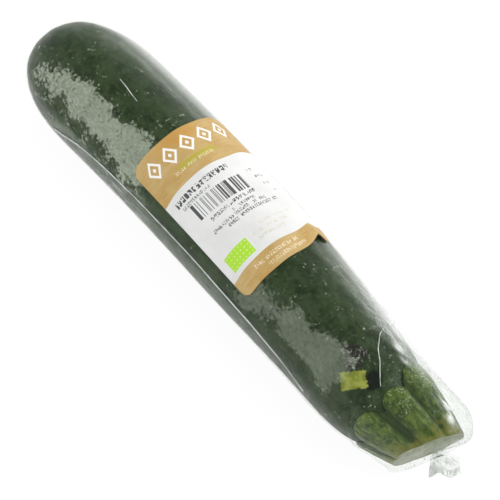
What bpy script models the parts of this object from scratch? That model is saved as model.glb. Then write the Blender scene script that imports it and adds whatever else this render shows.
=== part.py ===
"""A long green zucchini with its cut, ribbed stem, wrapped in clear shrink film with a paper label.

Metres, +Z up, the fruit's long axis along X with the stem towards +X. The origin is the middle of
the object's footprint, on the surface it lies on. Angles round the fruit are in degrees from the
top: positive towards -Y, negative towards +Y.
"""
import math

import bmesh
import bpy
from mathutils import Vector

MM = 0.001

# Fruit
FRUIT_LENGTH = 220.0 * MM
FULLEST_RADIUS = 23.4 * MM
TAPER = 2.7 * MM                # the stem end is this much slimmer in radius
TAPER_FROM = 118.0 * MM         # from the blossom tip
TAPER_TO = 196.0 * MM
BLOSSOM_ROUNDING = 41.0 * MM    # length of the rounded blossom end
SHOULDER_ROUNDING = 38.0 * MM   # length of the rounded stem end
END_SQUARENESS = 2.5            # 2 is an ellipse, more is blunter
BOW = 4.6 * MM                  # the middle stands this far towards +Y
RIDGES = 10                     # faint long ridges in the skin
RIDGE_HEIGHT = 0.16 * MM
FLATTENED = 0.9 * MM            # how far the belly is pressed flat where it lies

# Stem: angle and width of each rib in degrees, and its reach over the shoulder
STEM_RIBS = (
    (-50, 68, 1.10),
    (3, 42, 0.97),
    (63, 58, 1.0),
    (134, 72, 1.0),
    (204, 64, 1.0),
    (262, 56, 1.0),
)
STEM_BASE_RADIUS = 16.6 * MM
STEM_CUT_RADIUS = 12.9 * MM
CORNER_ANGLE = 155.0            # the cut's outline stands out into a corner at the lower front
CORNER_SPREAD = 27.0
CORNER_REACH = 3.6 * MM
STEM_ROOT_AT = 205.0 * MM       # from the blossom tip
STEM_CUT_AT = 230.5 * MM        # where the cut crosses the stem's axis
CUT_NORMAL = Vector((0.911, -0.293, -0.288))
RIB_DEPTH = 2.6 * MM            # groove depth between ribs at the root
RIB_DEPTH_AT_CUT = 1.5 * MM
RIB_SQUARENESS = 2.4            # a rib's cross-section is blunter than a half circle
RIB_FULLNESS = 0.6
RIB_SWELL = 1.5 * MM            # how far a rib's head stands out over its straight flank
BIG_HEAD_ANGLE = -55.0          # the head there is fuller than the others
BIG_HEAD_SPREAD = 30.0
BIG_HEAD_SWELL = 1.6 * MM       # on top of RIB_SWELL
GROOVE_SWELL = 0.4              # the same in the grooves, as a share
SWELL_FULLNESS = 0.8
SWELL_FADE = 0.75               # how much of the swelling is gone at the cut
SWELL_LEAN = 36.87              # degrees, the heads lean back over the shoulder
RIM_THICKNESS = 0.5 * MM        # the stem's edge on the shoulder
STEM_LEAN = 2.3 * MM            # the cut's centre stands this far towards +Y

# Film
FILM_WALL = 0.35 * MM
FIT_GAP = 0.3 * MM              # between pieces that touch
FILM_CLEARANCE = 0.9 * MM       # outer side of the film over the shoulder and the ribs
FILM_LEAVES_FRUIT = 193.0 * MM  # from the blossom tip
# Rings of film round the stem: place from the blossom tip, half width, half height, shift to +Y
WEB_RINGS = ((216.0 * MM, 18.8 * MM, 18.3 * MM, 1.9 * MM), (227.5 * MM, 18.3 * MM, 15.8 * MM, 2.5 * MM))
SHOULDER_TOP = 3.0 * MM         # the end of the fruit that only the stem covers
WEB_SLANT = 7.0                 # degrees, the +Y side lies further out
WEB_ROLL = 18.0                 # degrees, the wide axis drops towards -Y
CUT_COVER = 1.9 * MM            # film beyond the cut face
EDGE_COVER = 2.4 * MM           # film round the cut's edge
TAIL_ROOT = Vector((0.0, 6.9, -7.0)) * MM   # from the cut's centre
TAIL_DIRECTION = Vector((0.70, -0.55, -0.45)).normalized()
TAIL_LENGTH = 8.2 * MM
TAIL_NECK_HALF_WIDTH = 5.2 * MM
TAIL_NECK_HALF_HEIGHT = 2.2 * MM
TAIL_MOUTH_HALF_WIDTH = 4.8 * MM
TAIL_MOUTH_HALF_HEIGHT = 2.4 * MM
TAIL_FOLDS = 4
TAIL_FOLD_DEPTH = 0.17          # as a share of the half width
TAIL_FOLD_TURN = 0.6            # radians
TAIL_LIP_WAVE = 0.9 * MM        # the mouth's edge is uneven by this much
TAIL_LIP_WAVES = 3

# Label
LABEL_START = 77.0 * MM         # from the blossom tip
LABEL_LENGTH = 70.0 * MM
LABEL_HALF_ANGLE = 57.0
LABEL_CENTRE_ANGLE = 0.0
LABEL_THICKNESS = 0.3 * MM
LABEL_CORNER = 4.0 * MM
BUCKLE_LIFT = 1.7 * MM          # the lower edge stands up in one small fold
BUCKLE_ANGLE = -38.0
BUCKLE_WIDTH = 9.0
BUCKLE_LENGTH = 9.0 * MM

# Mesh
SLOPE_STEP = 0.5 * MM           # over which the outline's slope is read
SEARCH_STEPS = 40               # halvings that find a place on the shoulder
CORNER_SHARE = 0.25             # how far along an edge its corner is cut off
SHARP_ANGLE = 50.0
COLUMNS = 36
FRUIT_ROWS = 20
STEM_COLUMNS = 60
STEM_FLANK_ROWS = 7
UNDER_SIDE_SHARES = (0.22, 0.44, 0.64, 0.82, 0.95)   # rings of the stem's side on the shoulder
CUT_FACE_SHARES = (0.66, 0.33)                       # rings inside the cut's edge
FILM_CUT_SHARES = (1.0, 0.5)                         # rings of film over the cut
TAIL_ROWS = 2
LABEL_ROWS = 14
LABEL_COLUMNS = 18

AXIS_HEIGHT = FULLEST_RADIUS + FIT_GAP + FILM_WALL - FLATTENED


def round_the_axis(angle):
    """Unit vector square to X at an angle from the top, positive towards -Y."""
    turn = math.radians(angle)
    return Vector((0.0, -math.sin(turn), math.cos(turn)))


def rounded_end(distance, length):
    """Share of the full radius at a distance from an end that is rounded over a length."""
    if distance >= length:
        return 1.0
    rest = 1.0 - max(distance, 0.0) / length
    return (1.0 - rest ** END_SQUARENESS) ** (1.0 / END_SQUARENESS)


def fruit_radius(x):
    along = min(max((x - TAPER_FROM) / (TAPER_TO - TAPER_FROM), 0.0), 1.0)
    full = FULLEST_RADIUS - TAPER * along * along * (3.0 - 2.0 * along)
    return full * rounded_end(x, BLOSSOM_ROUNDING) * rounded_end(FRUIT_LENGTH - x, SHOULDER_ROUNDING)


def fruit_axis(x):
    """Point on the bowed centre line."""
    across = 2.0 * x / FRUIT_LENGTH - 1.0
    return Vector((x, BOW * (1.0 - across * across), AXIS_HEIGHT))


def fruit_point(x, angle):
    radius = fruit_radius(x)
    ridge = RIDGE_HEIGHT * math.cos(math.radians(RIDGES * angle)) * radius / FULLEST_RADIUS
    return fruit_axis(x) + round_the_axis(angle) * (radius + ridge)


def fruit_slope(x):
    """Rise of the outline per unit of length."""
    low, high = max(x - SLOPE_STEP, 0.0), min(x + SLOPE_STEP, FRUIT_LENGTH)
    return (fruit_radius(high) - fruit_radius(low)) / (high - low)


def fruit_normal(x, angle):
    """Outward direction of the skin."""
    return (round_the_axis(angle) - Vector((fruit_slope(x), 0.0, 0.0))).normalized()


def turn_between(angle, other):
    """Degrees from one angle to another, the short way."""
    return abs((angle - other + 180.0) % 360.0 - 180.0)


def column_angles(count):
    return [360.0 * i / count for i in range(count)]


def end_spaced(count, start, stop):
    """Distances that crowd together towards both ends."""
    return [start + (stop - start) * (0.5 - 0.5 * math.cos(math.pi * i / count)) for i in range(count + 1)]


def pressed_flat(rows, lowest):
    """The rows with nothing below the given height."""
    return [[Vector((p.x, p.y, max(p.z, lowest))) for p in row] for row in rows]


def skin_rows(rows):
    """Closed mesh through rows of points. A row of one point is a pole."""
    mesh = bmesh.new()
    rings = [[mesh.verts.new(p) for p in row] for row in rows]
    for near, far in zip(rings, rings[1:]):
        count = max(len(near), len(far))
        for i in range(count):
            j = (i + 1) % count
            if len(near) == 1:
                mesh.faces.new((near[0], far[j], far[i]))
            elif len(far) == 1:
                mesh.faces.new((near[i], near[j], far[0]))
            else:
                mesh.faces.new((near[i], near[j], far[j], far[i]))
    bmesh.ops.recalc_face_normals(mesh, faces=mesh.faces)
    return mesh


def add_object(name, mesh, colour, roughness, alpha=1.0):
    data = bpy.data.meshes.new(name)
    mesh.to_mesh(data)
    mesh.free()
    data.shade_smooth()
    data.set_sharp_from_angle(angle=math.radians(SHARP_ANGLE))
    material = bpy.data.materials.new(name)
    material.use_nodes = True
    shader = material.node_tree.nodes["Principled BSDF"]
    shader.inputs["Base Color"].default_value = (*colour, 1.0)
    shader.inputs["Roughness"].default_value = roughness
    shader.inputs["Metallic"].default_value = 0.0
    shader.inputs["Alpha"].default_value = alpha
    data.materials.append(material)
    made = bpy.data.objects.new(name, data)
    bpy.context.scene.collection.objects.link(made)
    return made


def fruit_rows(grow, last_x):
    """Rings of the skin moved out by grow, from the blossom tip to last_x."""
    tip = fruit_axis(0.0) - Vector((grow, 0.0, 0.0))
    rows = [[tip]]
    for x in end_spaced(FRUIT_ROWS, 0.0, FRUIT_LENGTH)[1:-1]:
        if x < last_x:
            rows.append([fruit_point(x, a) + fruit_normal(x, a) * grow for a in column_angles(COLUMNS)])
    return rows


def make_fruit():
    rows = fruit_rows(0.0, FRUIT_LENGTH)
    rows.append([fruit_axis(FRUIT_LENGTH)])
    mesh = skin_rows(pressed_flat(rows, FILM_WALL + FIT_GAP))
    return add_object("fruit", mesh, (0.035, 0.07, 0.03), 0.45)


def rib_height(angle):
    """1 on the crest of a rib, 0 in the groove between two."""
    best = 0.0
    for crest, width, _ in STEM_RIBS:
        away = turn_between(angle, crest) / (0.5 * width)
        if away < 1.0:
            best = max(best, (1.0 - away ** RIB_SQUARENESS) ** RIB_FULLNESS)
    return best


def rib_reach(angle):
    """How far the nearest rib runs over the shoulder, as a share of the usual radius."""
    return min(STEM_RIBS, key=lambda rib: turn_between(angle, rib[0]) / rib[1])[2]


def cut_radius(angle):
    """Radius of the cut's outline on the crest of a rib."""
    away = turn_between(angle, CORNER_ANGLE) / CORNER_SPREAD
    return STEM_CUT_RADIUS + CORNER_REACH * math.exp(-away ** 2)


def head_swell(angle):
    """How far the head of a rib at an angle stands out over its straight flank."""
    away = turn_between(angle, BIG_HEAD_ANGLE) / BIG_HEAD_SPREAD
    return RIB_SWELL + BIG_HEAD_SWELL * math.exp(-away ** 2)


def stem_axis(x):
    """Centre line of the stem, which leaves the fruit's own line towards +Y."""
    along = (x - STEM_ROOT_AT) / (STEM_CUT_AT - STEM_ROOT_AT)
    start = fruit_axis(min(x, FRUIT_LENGTH))
    return Vector((x, start.y + STEM_LEAN * along, start.z))


def fruit_x_at_radius(radius):
    """Where the shoulder has a given radius."""
    low, high = FRUIT_LENGTH - SHOULDER_ROUNDING, FRUIT_LENGTH
    for _ in range(SEARCH_STEPS):
        middle = 0.5 * (low + high)
        low, high = (middle, high) if fruit_radius(middle) > radius else (low, middle)
    return low


def cut_x(offset):
    """X of the cut face at an offset from its centre, square to X."""
    return STEM_CUT_AT - (CUT_NORMAL.y * offset.y + CUT_NORMAL.z * offset.z) / CUT_NORMAL.x


def stem_column(angle, height):
    """One profile of the stem: under side on the shoulder, out round the rib, up to the cut."""
    out = round_the_axis(angle)
    foot = STEM_BASE_RADIUS * rib_reach(angle) - RIB_DEPTH * (1.0 - height)
    edge = cut_radius(angle) - RIB_DEPTH_AT_CUT * (1.0 - height)
    points = []
    for share in UNDER_SIDE_SHARES:
        x = fruit_x_at_radius(foot * share)
        points.append(fruit_axis(x) + out * (foot * share) + fruit_normal(x, angle) * FIT_GAP)
    x = fruit_x_at_radius(foot)
    rim = fruit_axis(x) + out * foot + fruit_normal(x, angle) * (FIT_GAP + RIM_THICKNESS)
    points.append(rim)
    centre = stem_axis(STEM_CUT_AT)
    end = centre + out * edge
    end.x = cut_x(out * edge)
    bulge = head_swell(angle) * (GROOVE_SWELL + (1.0 - GROOVE_SWELL) * height)
    lean = math.radians(SWELL_LEAN)
    towards = out * math.cos(lean) - Vector((math.sin(lean), 0.0, 0.0))
    for i in range(1, STEM_FLANK_ROWS + 1):
        t = i / STEM_FLANK_ROWS
        swell = bulge * (4.0 * t * (1.0 - t)) ** SWELL_FULLNESS * (1.0 - SWELL_FADE * t)
        points.append(rim.lerp(end, t) + towards * swell)
    for share in CUT_FACE_SHARES:
        inner = centre + out * (edge * share)
        inner.x = cut_x(out * (edge * share))
        points.append(inner)
    return points


def make_stem():
    columns = [stem_column(a, rib_height(a)) for a in column_angles(STEM_COLUMNS)]
    rows = [list(row) for row in zip(*columns)]
    root = fruit_axis(FRUIT_LENGTH) + Vector((FIT_GAP, 0.0, 0.0))
    rows = [[root]] + rows + [[stem_axis(STEM_CUT_AT)]]
    return add_object("stem", skin_rows(rows), (0.11, 0.20, 0.045), 0.5)


def web_ring(columns, x, half_width, half_height, side_shift):
    """Ring of film that stands clear of the stem, an ellipse that leans towards the front."""
    centre = stem_axis(x) + Vector((0.0, side_shift, 0.0))
    wide, high = round_the_axis(90.0 + WEB_ROLL), round_the_axis(WEB_ROLL)
    ring = []
    for angle in columns:
        turn = math.radians(angle - WEB_ROLL)
        point = centre + wide * (half_width * math.sin(turn)) + high * (half_height * math.cos(turn))
        point.x += (point.y - centre.y) * math.tan(math.radians(WEB_SLANT))
        ring.append(point)
    return ring


def cut_ring(columns, share):
    """Ring of film over the cut face: share 1 lies outside its edge, 0 is the root of the tail."""
    centre = stem_axis(STEM_CUT_AT)
    ring = []
    for angle in columns:
        offset = round_the_axis(angle) * (share * (cut_radius(angle) + EDGE_COVER))
        offset += TAIL_ROOT * (1.0 - share)
        point = centre + offset
        point.x = cut_x(offset)
        ring.append(point + CUT_NORMAL * CUT_COVER)
    return ring


def tail_ring(columns, along):
    """Ring of the gathered tail, folded more and more towards its open mouth."""
    root = stem_axis(STEM_CUT_AT) + TAIL_ROOT
    root.x = cut_x(TAIL_ROOT)
    centre = root + CUT_NORMAL * CUT_COVER + TAIL_DIRECTION * (TAIL_LENGTH * along)
    side = TAIL_DIRECTION.cross(Vector((0.0, 0.0, 1.0))).normalized()
    over = side.cross(TAIL_DIRECTION).normalized()
    wide = TAIL_NECK_HALF_WIDTH + (TAIL_MOUTH_HALF_WIDTH - TAIL_NECK_HALF_WIDTH) * along
    high = TAIL_NECK_HALF_HEIGHT + (TAIL_MOUTH_HALF_HEIGHT - TAIL_NECK_HALF_HEIGHT) * along
    ring = []
    for angle in columns:
        turn = math.radians(angle)
        fold = 1.0 + TAIL_FOLD_DEPTH * along * math.cos(TAIL_FOLDS * turn + TAIL_FOLD_TURN)
        lip = TAIL_DIRECTION * (TAIL_LIP_WAVE * along * math.sin(TAIL_LIP_WAVES * turn))
        across = over * (high * fold * math.cos(turn)) - side * (wide * fold * math.sin(turn))
        ring.append(centre + across + lip)
    return ring


def corner_cut(rows):
    """The rows with every corner between first and last rounded off."""
    smooth = [rows[0]]
    for near, far in zip(rows, rows[1:]):
        smooth.append([a.lerp(b, CORNER_SHARE) for a, b in zip(near, far)])
        smooth.append([b.lerp(a, CORNER_SHARE) for a, b in zip(near, far)])
    smooth.append(rows[-1])
    return smooth


def crest_radius(x, angle):
    """Distance of a rib's crest from the stem's axis at x, 0 beyond the flank's ends."""
    flank = stem_column(angle, 1.0)[len(UNDER_SIDE_SHARES):-len(CUT_FACE_SHARES)]
    for near, far in zip(flank, flank[1:]):
        if near.x <= x <= far.x:
            return (near.lerp(far, (x - near.x) / (far.x - near.x)) - stem_axis(x)).length
    return 0.0


def clear_of_pieces(point):
    """The point, moved straight out where the film would touch the shoulder or a rib."""
    x = point.x
    if x < FRUIT_LENGTH - SHOULDER_TOP:
        outward = point - fruit_axis(x)
        needed = fruit_radius(x) + FILM_CLEARANCE * math.hypot(1.0, fruit_slope(x))
        if outward.length < needed:
            point = fruit_axis(x) + outward.normalized() * needed
    if (point - stem_axis(STEM_CUT_AT)).dot(CUT_NORMAL) > 0.0:
        return point
    outward = point - stem_axis(x)
    crest = crest_radius(x, math.degrees(math.atan2(-outward.y, outward.z)))
    if 0.0 < crest and outward.length < crest + FILM_CLEARANCE:
        point = stem_axis(x) + outward.normalized() * (crest + FILM_CLEARANCE)
    return point


def inner_side(rows):
    """The rows moved in by the film's thickness, square to the surface."""
    inner = []
    for r, row in enumerate(rows):
        if len(row) == 1:
            inner.append([row[0] + Vector((FILM_WALL, 0.0, 0.0))])
            continue
        before, after = rows[max(r - 1, 0)], rows[min(r + 1, len(rows) - 1)]
        count = len(row)
        moved = []
        for i, point in enumerate(row):
            back = before[0] if len(before) == 1 else before[i]
            along = after[i] - back
            around = row[(i + 1) % count] - row[i - 1]
            moved.append(point - around.cross(along).normalized() * FILM_WALL)
        inner.append(moved)
    return inner


def make_film():
    columns = column_angles(COLUMNS)
    on_fruit = fruit_rows(FIT_GAP + FILM_WALL, FILM_LEAVES_FRUIT)
    beyond = [on_fruit[-1]]
    beyond += [web_ring(columns, *ring) for ring in WEB_RINGS]
    beyond += [cut_ring(columns, share) for share in FILM_CUT_SHARES]
    beyond += [tail_ring(columns, row / TAIL_ROWS) for row in range(TAIL_ROWS + 1)]
    beyond = corner_cut(corner_cut(beyond))[1:]
    outer = on_fruit + [[clear_of_pieces(point) for point in row] for row in beyond]
    inner = inner_side(outer)
    outer = pressed_flat(outer, 0.0)
    inner = pressed_flat(inner, FILM_WALL)
    return add_object("film_wrap", skin_rows(outer + inner[::-1]), (0.85, 0.88, 0.86), 0.15, 0.2)


def label_half_width(x):
    """Half width in degrees, drawn in at both ends to round the corners."""
    from_end = min(x - LABEL_START, LABEL_START + LABEL_LENGTH - x)
    inset = 0.0
    if from_end < LABEL_CORNER:
        inset = LABEL_CORNER - math.sqrt(max(LABEL_CORNER ** 2 - (LABEL_CORNER - from_end) ** 2, 0.0))
    return LABEL_HALF_ANGLE - math.degrees(inset / FULLEST_RADIUS)


def label_point(x, angle, height):
    """Point of the label over the film, with the small fold at its lower edge."""
    from_edge = (LABEL_START + LABEL_LENGTH - x) / BUCKLE_LENGTH
    fold = math.exp(-from_edge ** 2 - ((angle - BUCKLE_ANGLE) / BUCKLE_WIDTH) ** 2)
    stand = FIT_GAP + FILM_WALL + FIT_GAP + height + BUCKLE_LIFT * fold
    return fruit_point(x, angle) + fruit_normal(x, angle) * stand


def make_label():
    mesh = bmesh.new()
    sides = []
    for height in (0.0, LABEL_THICKNESS):
        grid = []
        for x in end_spaced(LABEL_ROWS, LABEL_START, LABEL_START + LABEL_LENGTH):
            half = label_half_width(x)
            row = []
            for i in range(LABEL_COLUMNS + 1):
                angle = LABEL_CENTRE_ANGLE + half * (2.0 * i / LABEL_COLUMNS - 1.0)
                row.append(mesh.verts.new(label_point(x, angle, height)))
            grid.append(row)
        sides.append(grid)
    for grid in sides:
        for near, far in zip(grid, grid[1:]):
            for i in range(LABEL_COLUMNS):
                mesh.faces.new((near[i], near[i + 1], far[i + 1], far[i]))
    low, high = sides
    border = [(r, 0) for r in range(LABEL_ROWS)]
    border += [(LABEL_ROWS, c) for c in range(LABEL_COLUMNS)]
    border += [(r, LABEL_COLUMNS) for r in range(LABEL_ROWS, 0, -1)]
    border += [(0, c) for c in range(LABEL_COLUMNS, 0, -1)]
    for (r, c), (s, d) in zip(border, border[1:] + border[:1]):
        mesh.faces.new((low[r][c], low[s][d], high[s][d], high[r][c]))
    bmesh.ops.recalc_face_normals(mesh, faces=mesh.faces)
    return add_object("label", mesh, (0.80, 0.72, 0.55), 0.6)


def centre_on_footprint(pieces):
    """Move the meshes so that the middle of their footprint is the origin."""
    points = [v.co for piece in pieces for v in piece.data.vertices]
    middle = [0.5 * (min(p[k] for p in points) + max(p[k] for p in points)) for k in (0, 1)]
    for piece in pieces:
        for vertex in piece.data.vertices:
            vertex.co = vertex.co - Vector((*middle, 0.0))


for old in list(bpy.data.objects):
    bpy.data.objects.remove(old, do_unlink=True)

centre_on_footprint([make_fruit(), make_stem(), make_film(), make_label()])
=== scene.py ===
"""Looks of a long zucchini in clear shrink film: skin, ribbed stem, film, seam, beads of water and label.

Metres. Places along the fruit are counted from the blossom tip. Angles round it are in degrees from the
top, positive towards -Y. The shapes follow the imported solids, from the same sizes and formulas.
"""
import functools
import math

import bmesh
import bpy
import numpy as np
from mathutils import Matrix, Vector, noise


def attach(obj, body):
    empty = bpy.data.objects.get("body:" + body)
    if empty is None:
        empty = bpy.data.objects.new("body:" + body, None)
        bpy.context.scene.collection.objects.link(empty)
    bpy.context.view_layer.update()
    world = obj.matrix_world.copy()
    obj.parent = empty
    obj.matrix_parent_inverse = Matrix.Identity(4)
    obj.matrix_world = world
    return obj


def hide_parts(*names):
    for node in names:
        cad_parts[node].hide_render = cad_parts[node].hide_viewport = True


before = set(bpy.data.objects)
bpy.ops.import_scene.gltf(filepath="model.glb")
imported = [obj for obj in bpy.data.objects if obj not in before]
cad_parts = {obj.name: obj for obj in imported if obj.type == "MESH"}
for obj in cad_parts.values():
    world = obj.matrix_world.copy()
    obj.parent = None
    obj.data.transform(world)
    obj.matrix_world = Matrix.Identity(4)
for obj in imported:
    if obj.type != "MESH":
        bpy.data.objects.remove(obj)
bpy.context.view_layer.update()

MM = 0.001

# Fruit
FRUIT_LENGTH = 220.0 * MM
FULLEST_RADIUS = 23.4 * MM
TAPER = 2.7 * MM
TAPER_FROM = 118.0 * MM
TAPER_TO = 196.0 * MM
BLOSSOM_ROUNDING = 41.0 * MM
SHOULDER_ROUNDING = 38.0 * MM
END_SQUARENESS = 2.5
BOW = 4.6 * MM
RIDGES = 10
RIDGE_HEIGHT = 0.16 * MM
FLATTENED = 0.9 * MM

# Stem: angle and width of each rib in degrees, and its reach over the shoulder
STEM_RIBS = (
    (-50, 68, 1.10),
    (3, 42, 0.97),
    (63, 58, 1.0),
    (134, 72, 1.0),
    (204, 64, 1.0),
    (262, 56, 1.0),
)
STEM_BASE_RADIUS = 16.6 * MM
STEM_CUT_RADIUS = 12.9 * MM
CORNER_ANGLE = 155.0
CORNER_SPREAD = 27.0
CORNER_REACH = 3.6 * MM
STEM_ROOT_AT = 205.0 * MM
STEM_CUT_AT = 230.5 * MM
CUT_NORMAL = Vector((0.911, -0.293, -0.288))
RIB_DEPTH = 2.6 * MM
RIB_DEPTH_AT_CUT = 1.5 * MM
RIB_SQUARENESS = 2.4
RIB_FULLNESS = 0.6
RIB_SWELL = 1.5 * MM
BIG_HEAD_ANGLE = -55.0
BIG_HEAD_SPREAD = 30.0
BIG_HEAD_SWELL = 1.6 * MM
GROOVE_SWELL = 0.4
SWELL_FULLNESS = 0.8
SWELL_FADE = 0.75
SWELL_LEAN = 36.87
RIM_THICKNESS = 0.5 * MM
STEM_LEAN = 2.3 * MM

# Film
FILM_WALL = 0.35 * MM           # of the solid
FIT_GAP = 0.3 * MM
FILM_CLEARANCE = 0.9 * MM
FILM_LEAVES_FRUIT = 187.8 * MM
WEB_RINGS = ((216.0 * MM, 18.8 * MM, 18.3 * MM, 1.9 * MM), (227.5 * MM, 18.3 * MM, 15.8 * MM, 2.5 * MM))
SHOULDER_TOP = 3.0 * MM
WEB_SLANT = 7.0
WEB_ROLL = 18.0
CUT_COVER = 1.9 * MM
EDGE_COVER = 2.4 * MM
TAIL_ROOT = Vector((0.0, 6.9, -7.0)) * MM
TAIL_DIRECTION = Vector((0.70, -0.55, -0.45)).normalized()
TAIL_LENGTH = 8.2 * MM
TAIL_NECK_HALF_WIDTH = 5.2 * MM
TAIL_NECK_HALF_HEIGHT = 2.2 * MM
TAIL_MOUTH_HALF_WIDTH = 4.8 * MM
TAIL_MOUTH_HALF_HEIGHT = 2.4 * MM
TAIL_FOLDS = 4
TAIL_FOLD_DEPTH = 0.17
TAIL_FOLD_TURN = 0.6
TAIL_LIP_WAVE = 0.9 * MM
TAIL_LIP_WAVES = 3

# Label
LABEL_START = 77.0 * MM
LABEL_LENGTH = 70.0 * MM
LABEL_HALF_ANGLE = 57.0
LABEL_CORNER = 4.0 * MM
BUCKLE_LIFT = 1.7 * MM
BUCKLE_ANGLE = -38.0
BUCKLE_WIDTH = 9.0
BUCKLE_LENGTH = 9.0 * MM

AXIS_HEIGHT = FULLEST_RADIUS + FIT_GAP + FILM_WALL - FLATTENED

# Fineness of the meshes
SLOPE_STEP = 0.5 * MM
SEARCH_STEPS = 40
CORNER_SHARE = 0.25
SKIN_ROWS, SKIN_COLUMNS = 250, 160
STEM_COLUMNS, STEM_FLANK_ROWS, STEM_UNDER_ROWS, STEM_FACE_ROWS = 300, 44, 6, 26
FILM_ROWS, FILM_COLUMNS, FILM_SMOOTHINGS = 150, 160, 4
LABEL_ROWS, LABEL_COLUMNS = 150, 100

# Looks
SKIN_STAND = 0.12 * MM          # the skin lies this far outside its plain solid
FILM_STAND = 0.52 * MM          # outer side of the film above the plain solid of the fruit
FILM_SKIN = 0.06 * MM           # the real film is thinner still
LABEL_LOW = 0.62 * MM
LABEL_HIGH = 0.98 * MM

# Camera, from the photograph
CAMERA_AZIMUTH = 52.2
CAMERA_ELEVATION = 57.4
CAMERA_DISTANCE = 1.20
PIXEL = 0.375 * MM              # size of one pixel at the target
FRAME_PIXELS = 500
SENSOR = 36.0
TARGET = Vector((0.0, 0.0, 22.5 * MM))
TARGET_SHIFT = (5.5, -5.9)      # pixels right and up

tip = min((v.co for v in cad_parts["fruit"].data.vertices), key=lambda point: point.x)
ORIGIN = np.array((tip.x, tip.y, 0.0))      # where the formulas' own origin lies


def round_the_axis(angle):
    """Unit vectors square to X at angles from the top, positive towards -Y."""
    turn = np.radians(angle)
    return np.stack([np.zeros_like(turn), -np.sin(turn), np.cos(turn)], axis=-1)


def rounded_end(distance, length):
    """Share of the full radius at a distance from an end that is rounded over a length."""
    rest = 1.0 - np.clip(distance, 0.0, length) / length
    return (1.0 - rest ** END_SQUARENESS) ** (1.0 / END_SQUARENESS)


def fruit_radius(x):
    along = np.clip((x - TAPER_FROM) / (TAPER_TO - TAPER_FROM), 0.0, 1.0)
    full = FULLEST_RADIUS - TAPER * along * along * (3.0 - 2.0 * along)
    return full * rounded_end(x, BLOSSOM_ROUNDING) * rounded_end(FRUIT_LENGTH - x, SHOULDER_ROUNDING)


def fruit_axis(x):
    """Points on the bowed centre line."""
    x = np.asarray(x, dtype=float)
    across = 2.0 * x / FRUIT_LENGTH - 1.0
    return np.stack([x, BOW * (1.0 - across * across), np.full_like(x, AXIS_HEIGHT)], axis=-1)


def fruit_slope(x):
    low = np.maximum(x - SLOPE_STEP, 0.0)
    high = np.minimum(x + SLOPE_STEP, FRUIT_LENGTH)
    return (fruit_radius(high) - fruit_radius(low)) / (high - low)


def fruit_normal(x, angle):
    """Outward directions of the skin, for arrays of places and angles of one shape."""
    x, angle = np.broadcast_arrays(np.asarray(x, dtype=float), np.asarray(angle, dtype=float))
    out = round_the_axis(angle)
    out[..., 0] = -fruit_slope(x)
    return out / np.linalg.norm(out, axis=-1, keepdims=True)


def on_fruit(x, angle, stand):
    """Points at a height over the fruit's plain solid."""
    x, angle = np.broadcast_arrays(np.asarray(x, dtype=float), np.asarray(angle, dtype=float))
    radius = fruit_radius(x)
    ridge = RIDGE_HEIGHT * np.cos(np.radians(RIDGES * angle)) * radius / FULLEST_RADIUS
    skin = fruit_axis(x) + round_the_axis(angle) * (radius + ridge)[..., None]
    return skin + fruit_normal(x, angle) * np.asarray(stand)[..., None]


def arc_spaced(count, start, stop):
    """Places along the fruit with equal steps of skin between them."""
    fine = np.linspace(start, stop, 4001)
    steps = np.hypot(np.diff(fine), np.diff(fruit_radius(fine)))
    run = np.concatenate([[0.0], np.cumsum(steps)])
    return np.interp(np.linspace(0.0, run[-1], count + 1), run, fine)


def columns_of(count):
    return np.arange(count) * (360.0 / count)


def turned(angle):
    """Angles brought between -180 and 180."""
    return (np.asarray(angle) + 180.0) % 360.0 - 180.0


def pressed_flat(points, lowest):
    points[..., 2] = np.maximum(points[..., 2], lowest)
    return points


def rough(points, size, octaves=3, shift=0.0):
    """Soft noise between about -1 and 1 at points, with features of the given size."""
    flat = points.reshape(-1, 3) / size + shift
    values = [noise.fractal(Vector(p), 1.0, 2.0, octaves, noise_basis="PERLIN_ORIGINAL") for p in flat]
    return np.array(values).reshape(points.shape[:-1])


def band_quads(rows, columns):
    """Quads between rings of points, facing out where the rings run along +X."""
    row = np.arange(rows - 1)[:, None] * columns
    near = np.arange(columns)[None, :]
    far = (near + 1) % columns
    quads = np.stack([row + near, row + far, row + columns + far, row + columns + near], axis=-1)
    return quads.reshape(-1, 4).tolist()


def tube(rings, first=None, last=None):
    """Points and faces through rings, closed at either end by a point or, with neither, on itself."""
    rows, columns = rings.shape[:2]
    points = rings.reshape(-1, 3)
    faces = band_quads(rows, columns)
    start = (rows - 1) * columns
    if first is not None:
        points = np.vstack([points, first])
        faces += [(len(points) - 1, (i + 1) % columns, i) for i in range(columns)]
    if last is not None:
        points = np.vstack([points, last])
        faces += [(start + i, start + (i + 1) % columns, len(points) - 1) for i in range(columns)]
    return points, faces


def add_piece(name, points, faces, material):
    """Mesh object at the origin, with its place in its mesh."""
    data = bpy.data.meshes.new(name)
    data.from_pydata((points + ORIGIN).tolist(), [], faces)
    data.shade_smooth()
    data.materials.append(material)
    made = bpy.data.objects.new(name, data)
    bpy.context.scene.collection.objects.link(made)
    return made


def add_values(piece, name, values, ends=()):
    """Float attribute on a piece's points, with those that close its ends last."""
    layer = piece.data.attributes.new(name, "FLOAT", "POINT")
    layer.data.foreach_set("value", np.concatenate([np.ravel(values), ends]).astype(np.float32))


def as_array(points):
    return np.array([tuple(point) for point in points])


def dress(piece, slot, *nodes):
    """Set what a finished piece rides on and which solid it stands for; the slot is not used."""
    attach(piece, "root")
    if nodes:
        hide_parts(*nodes)


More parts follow.
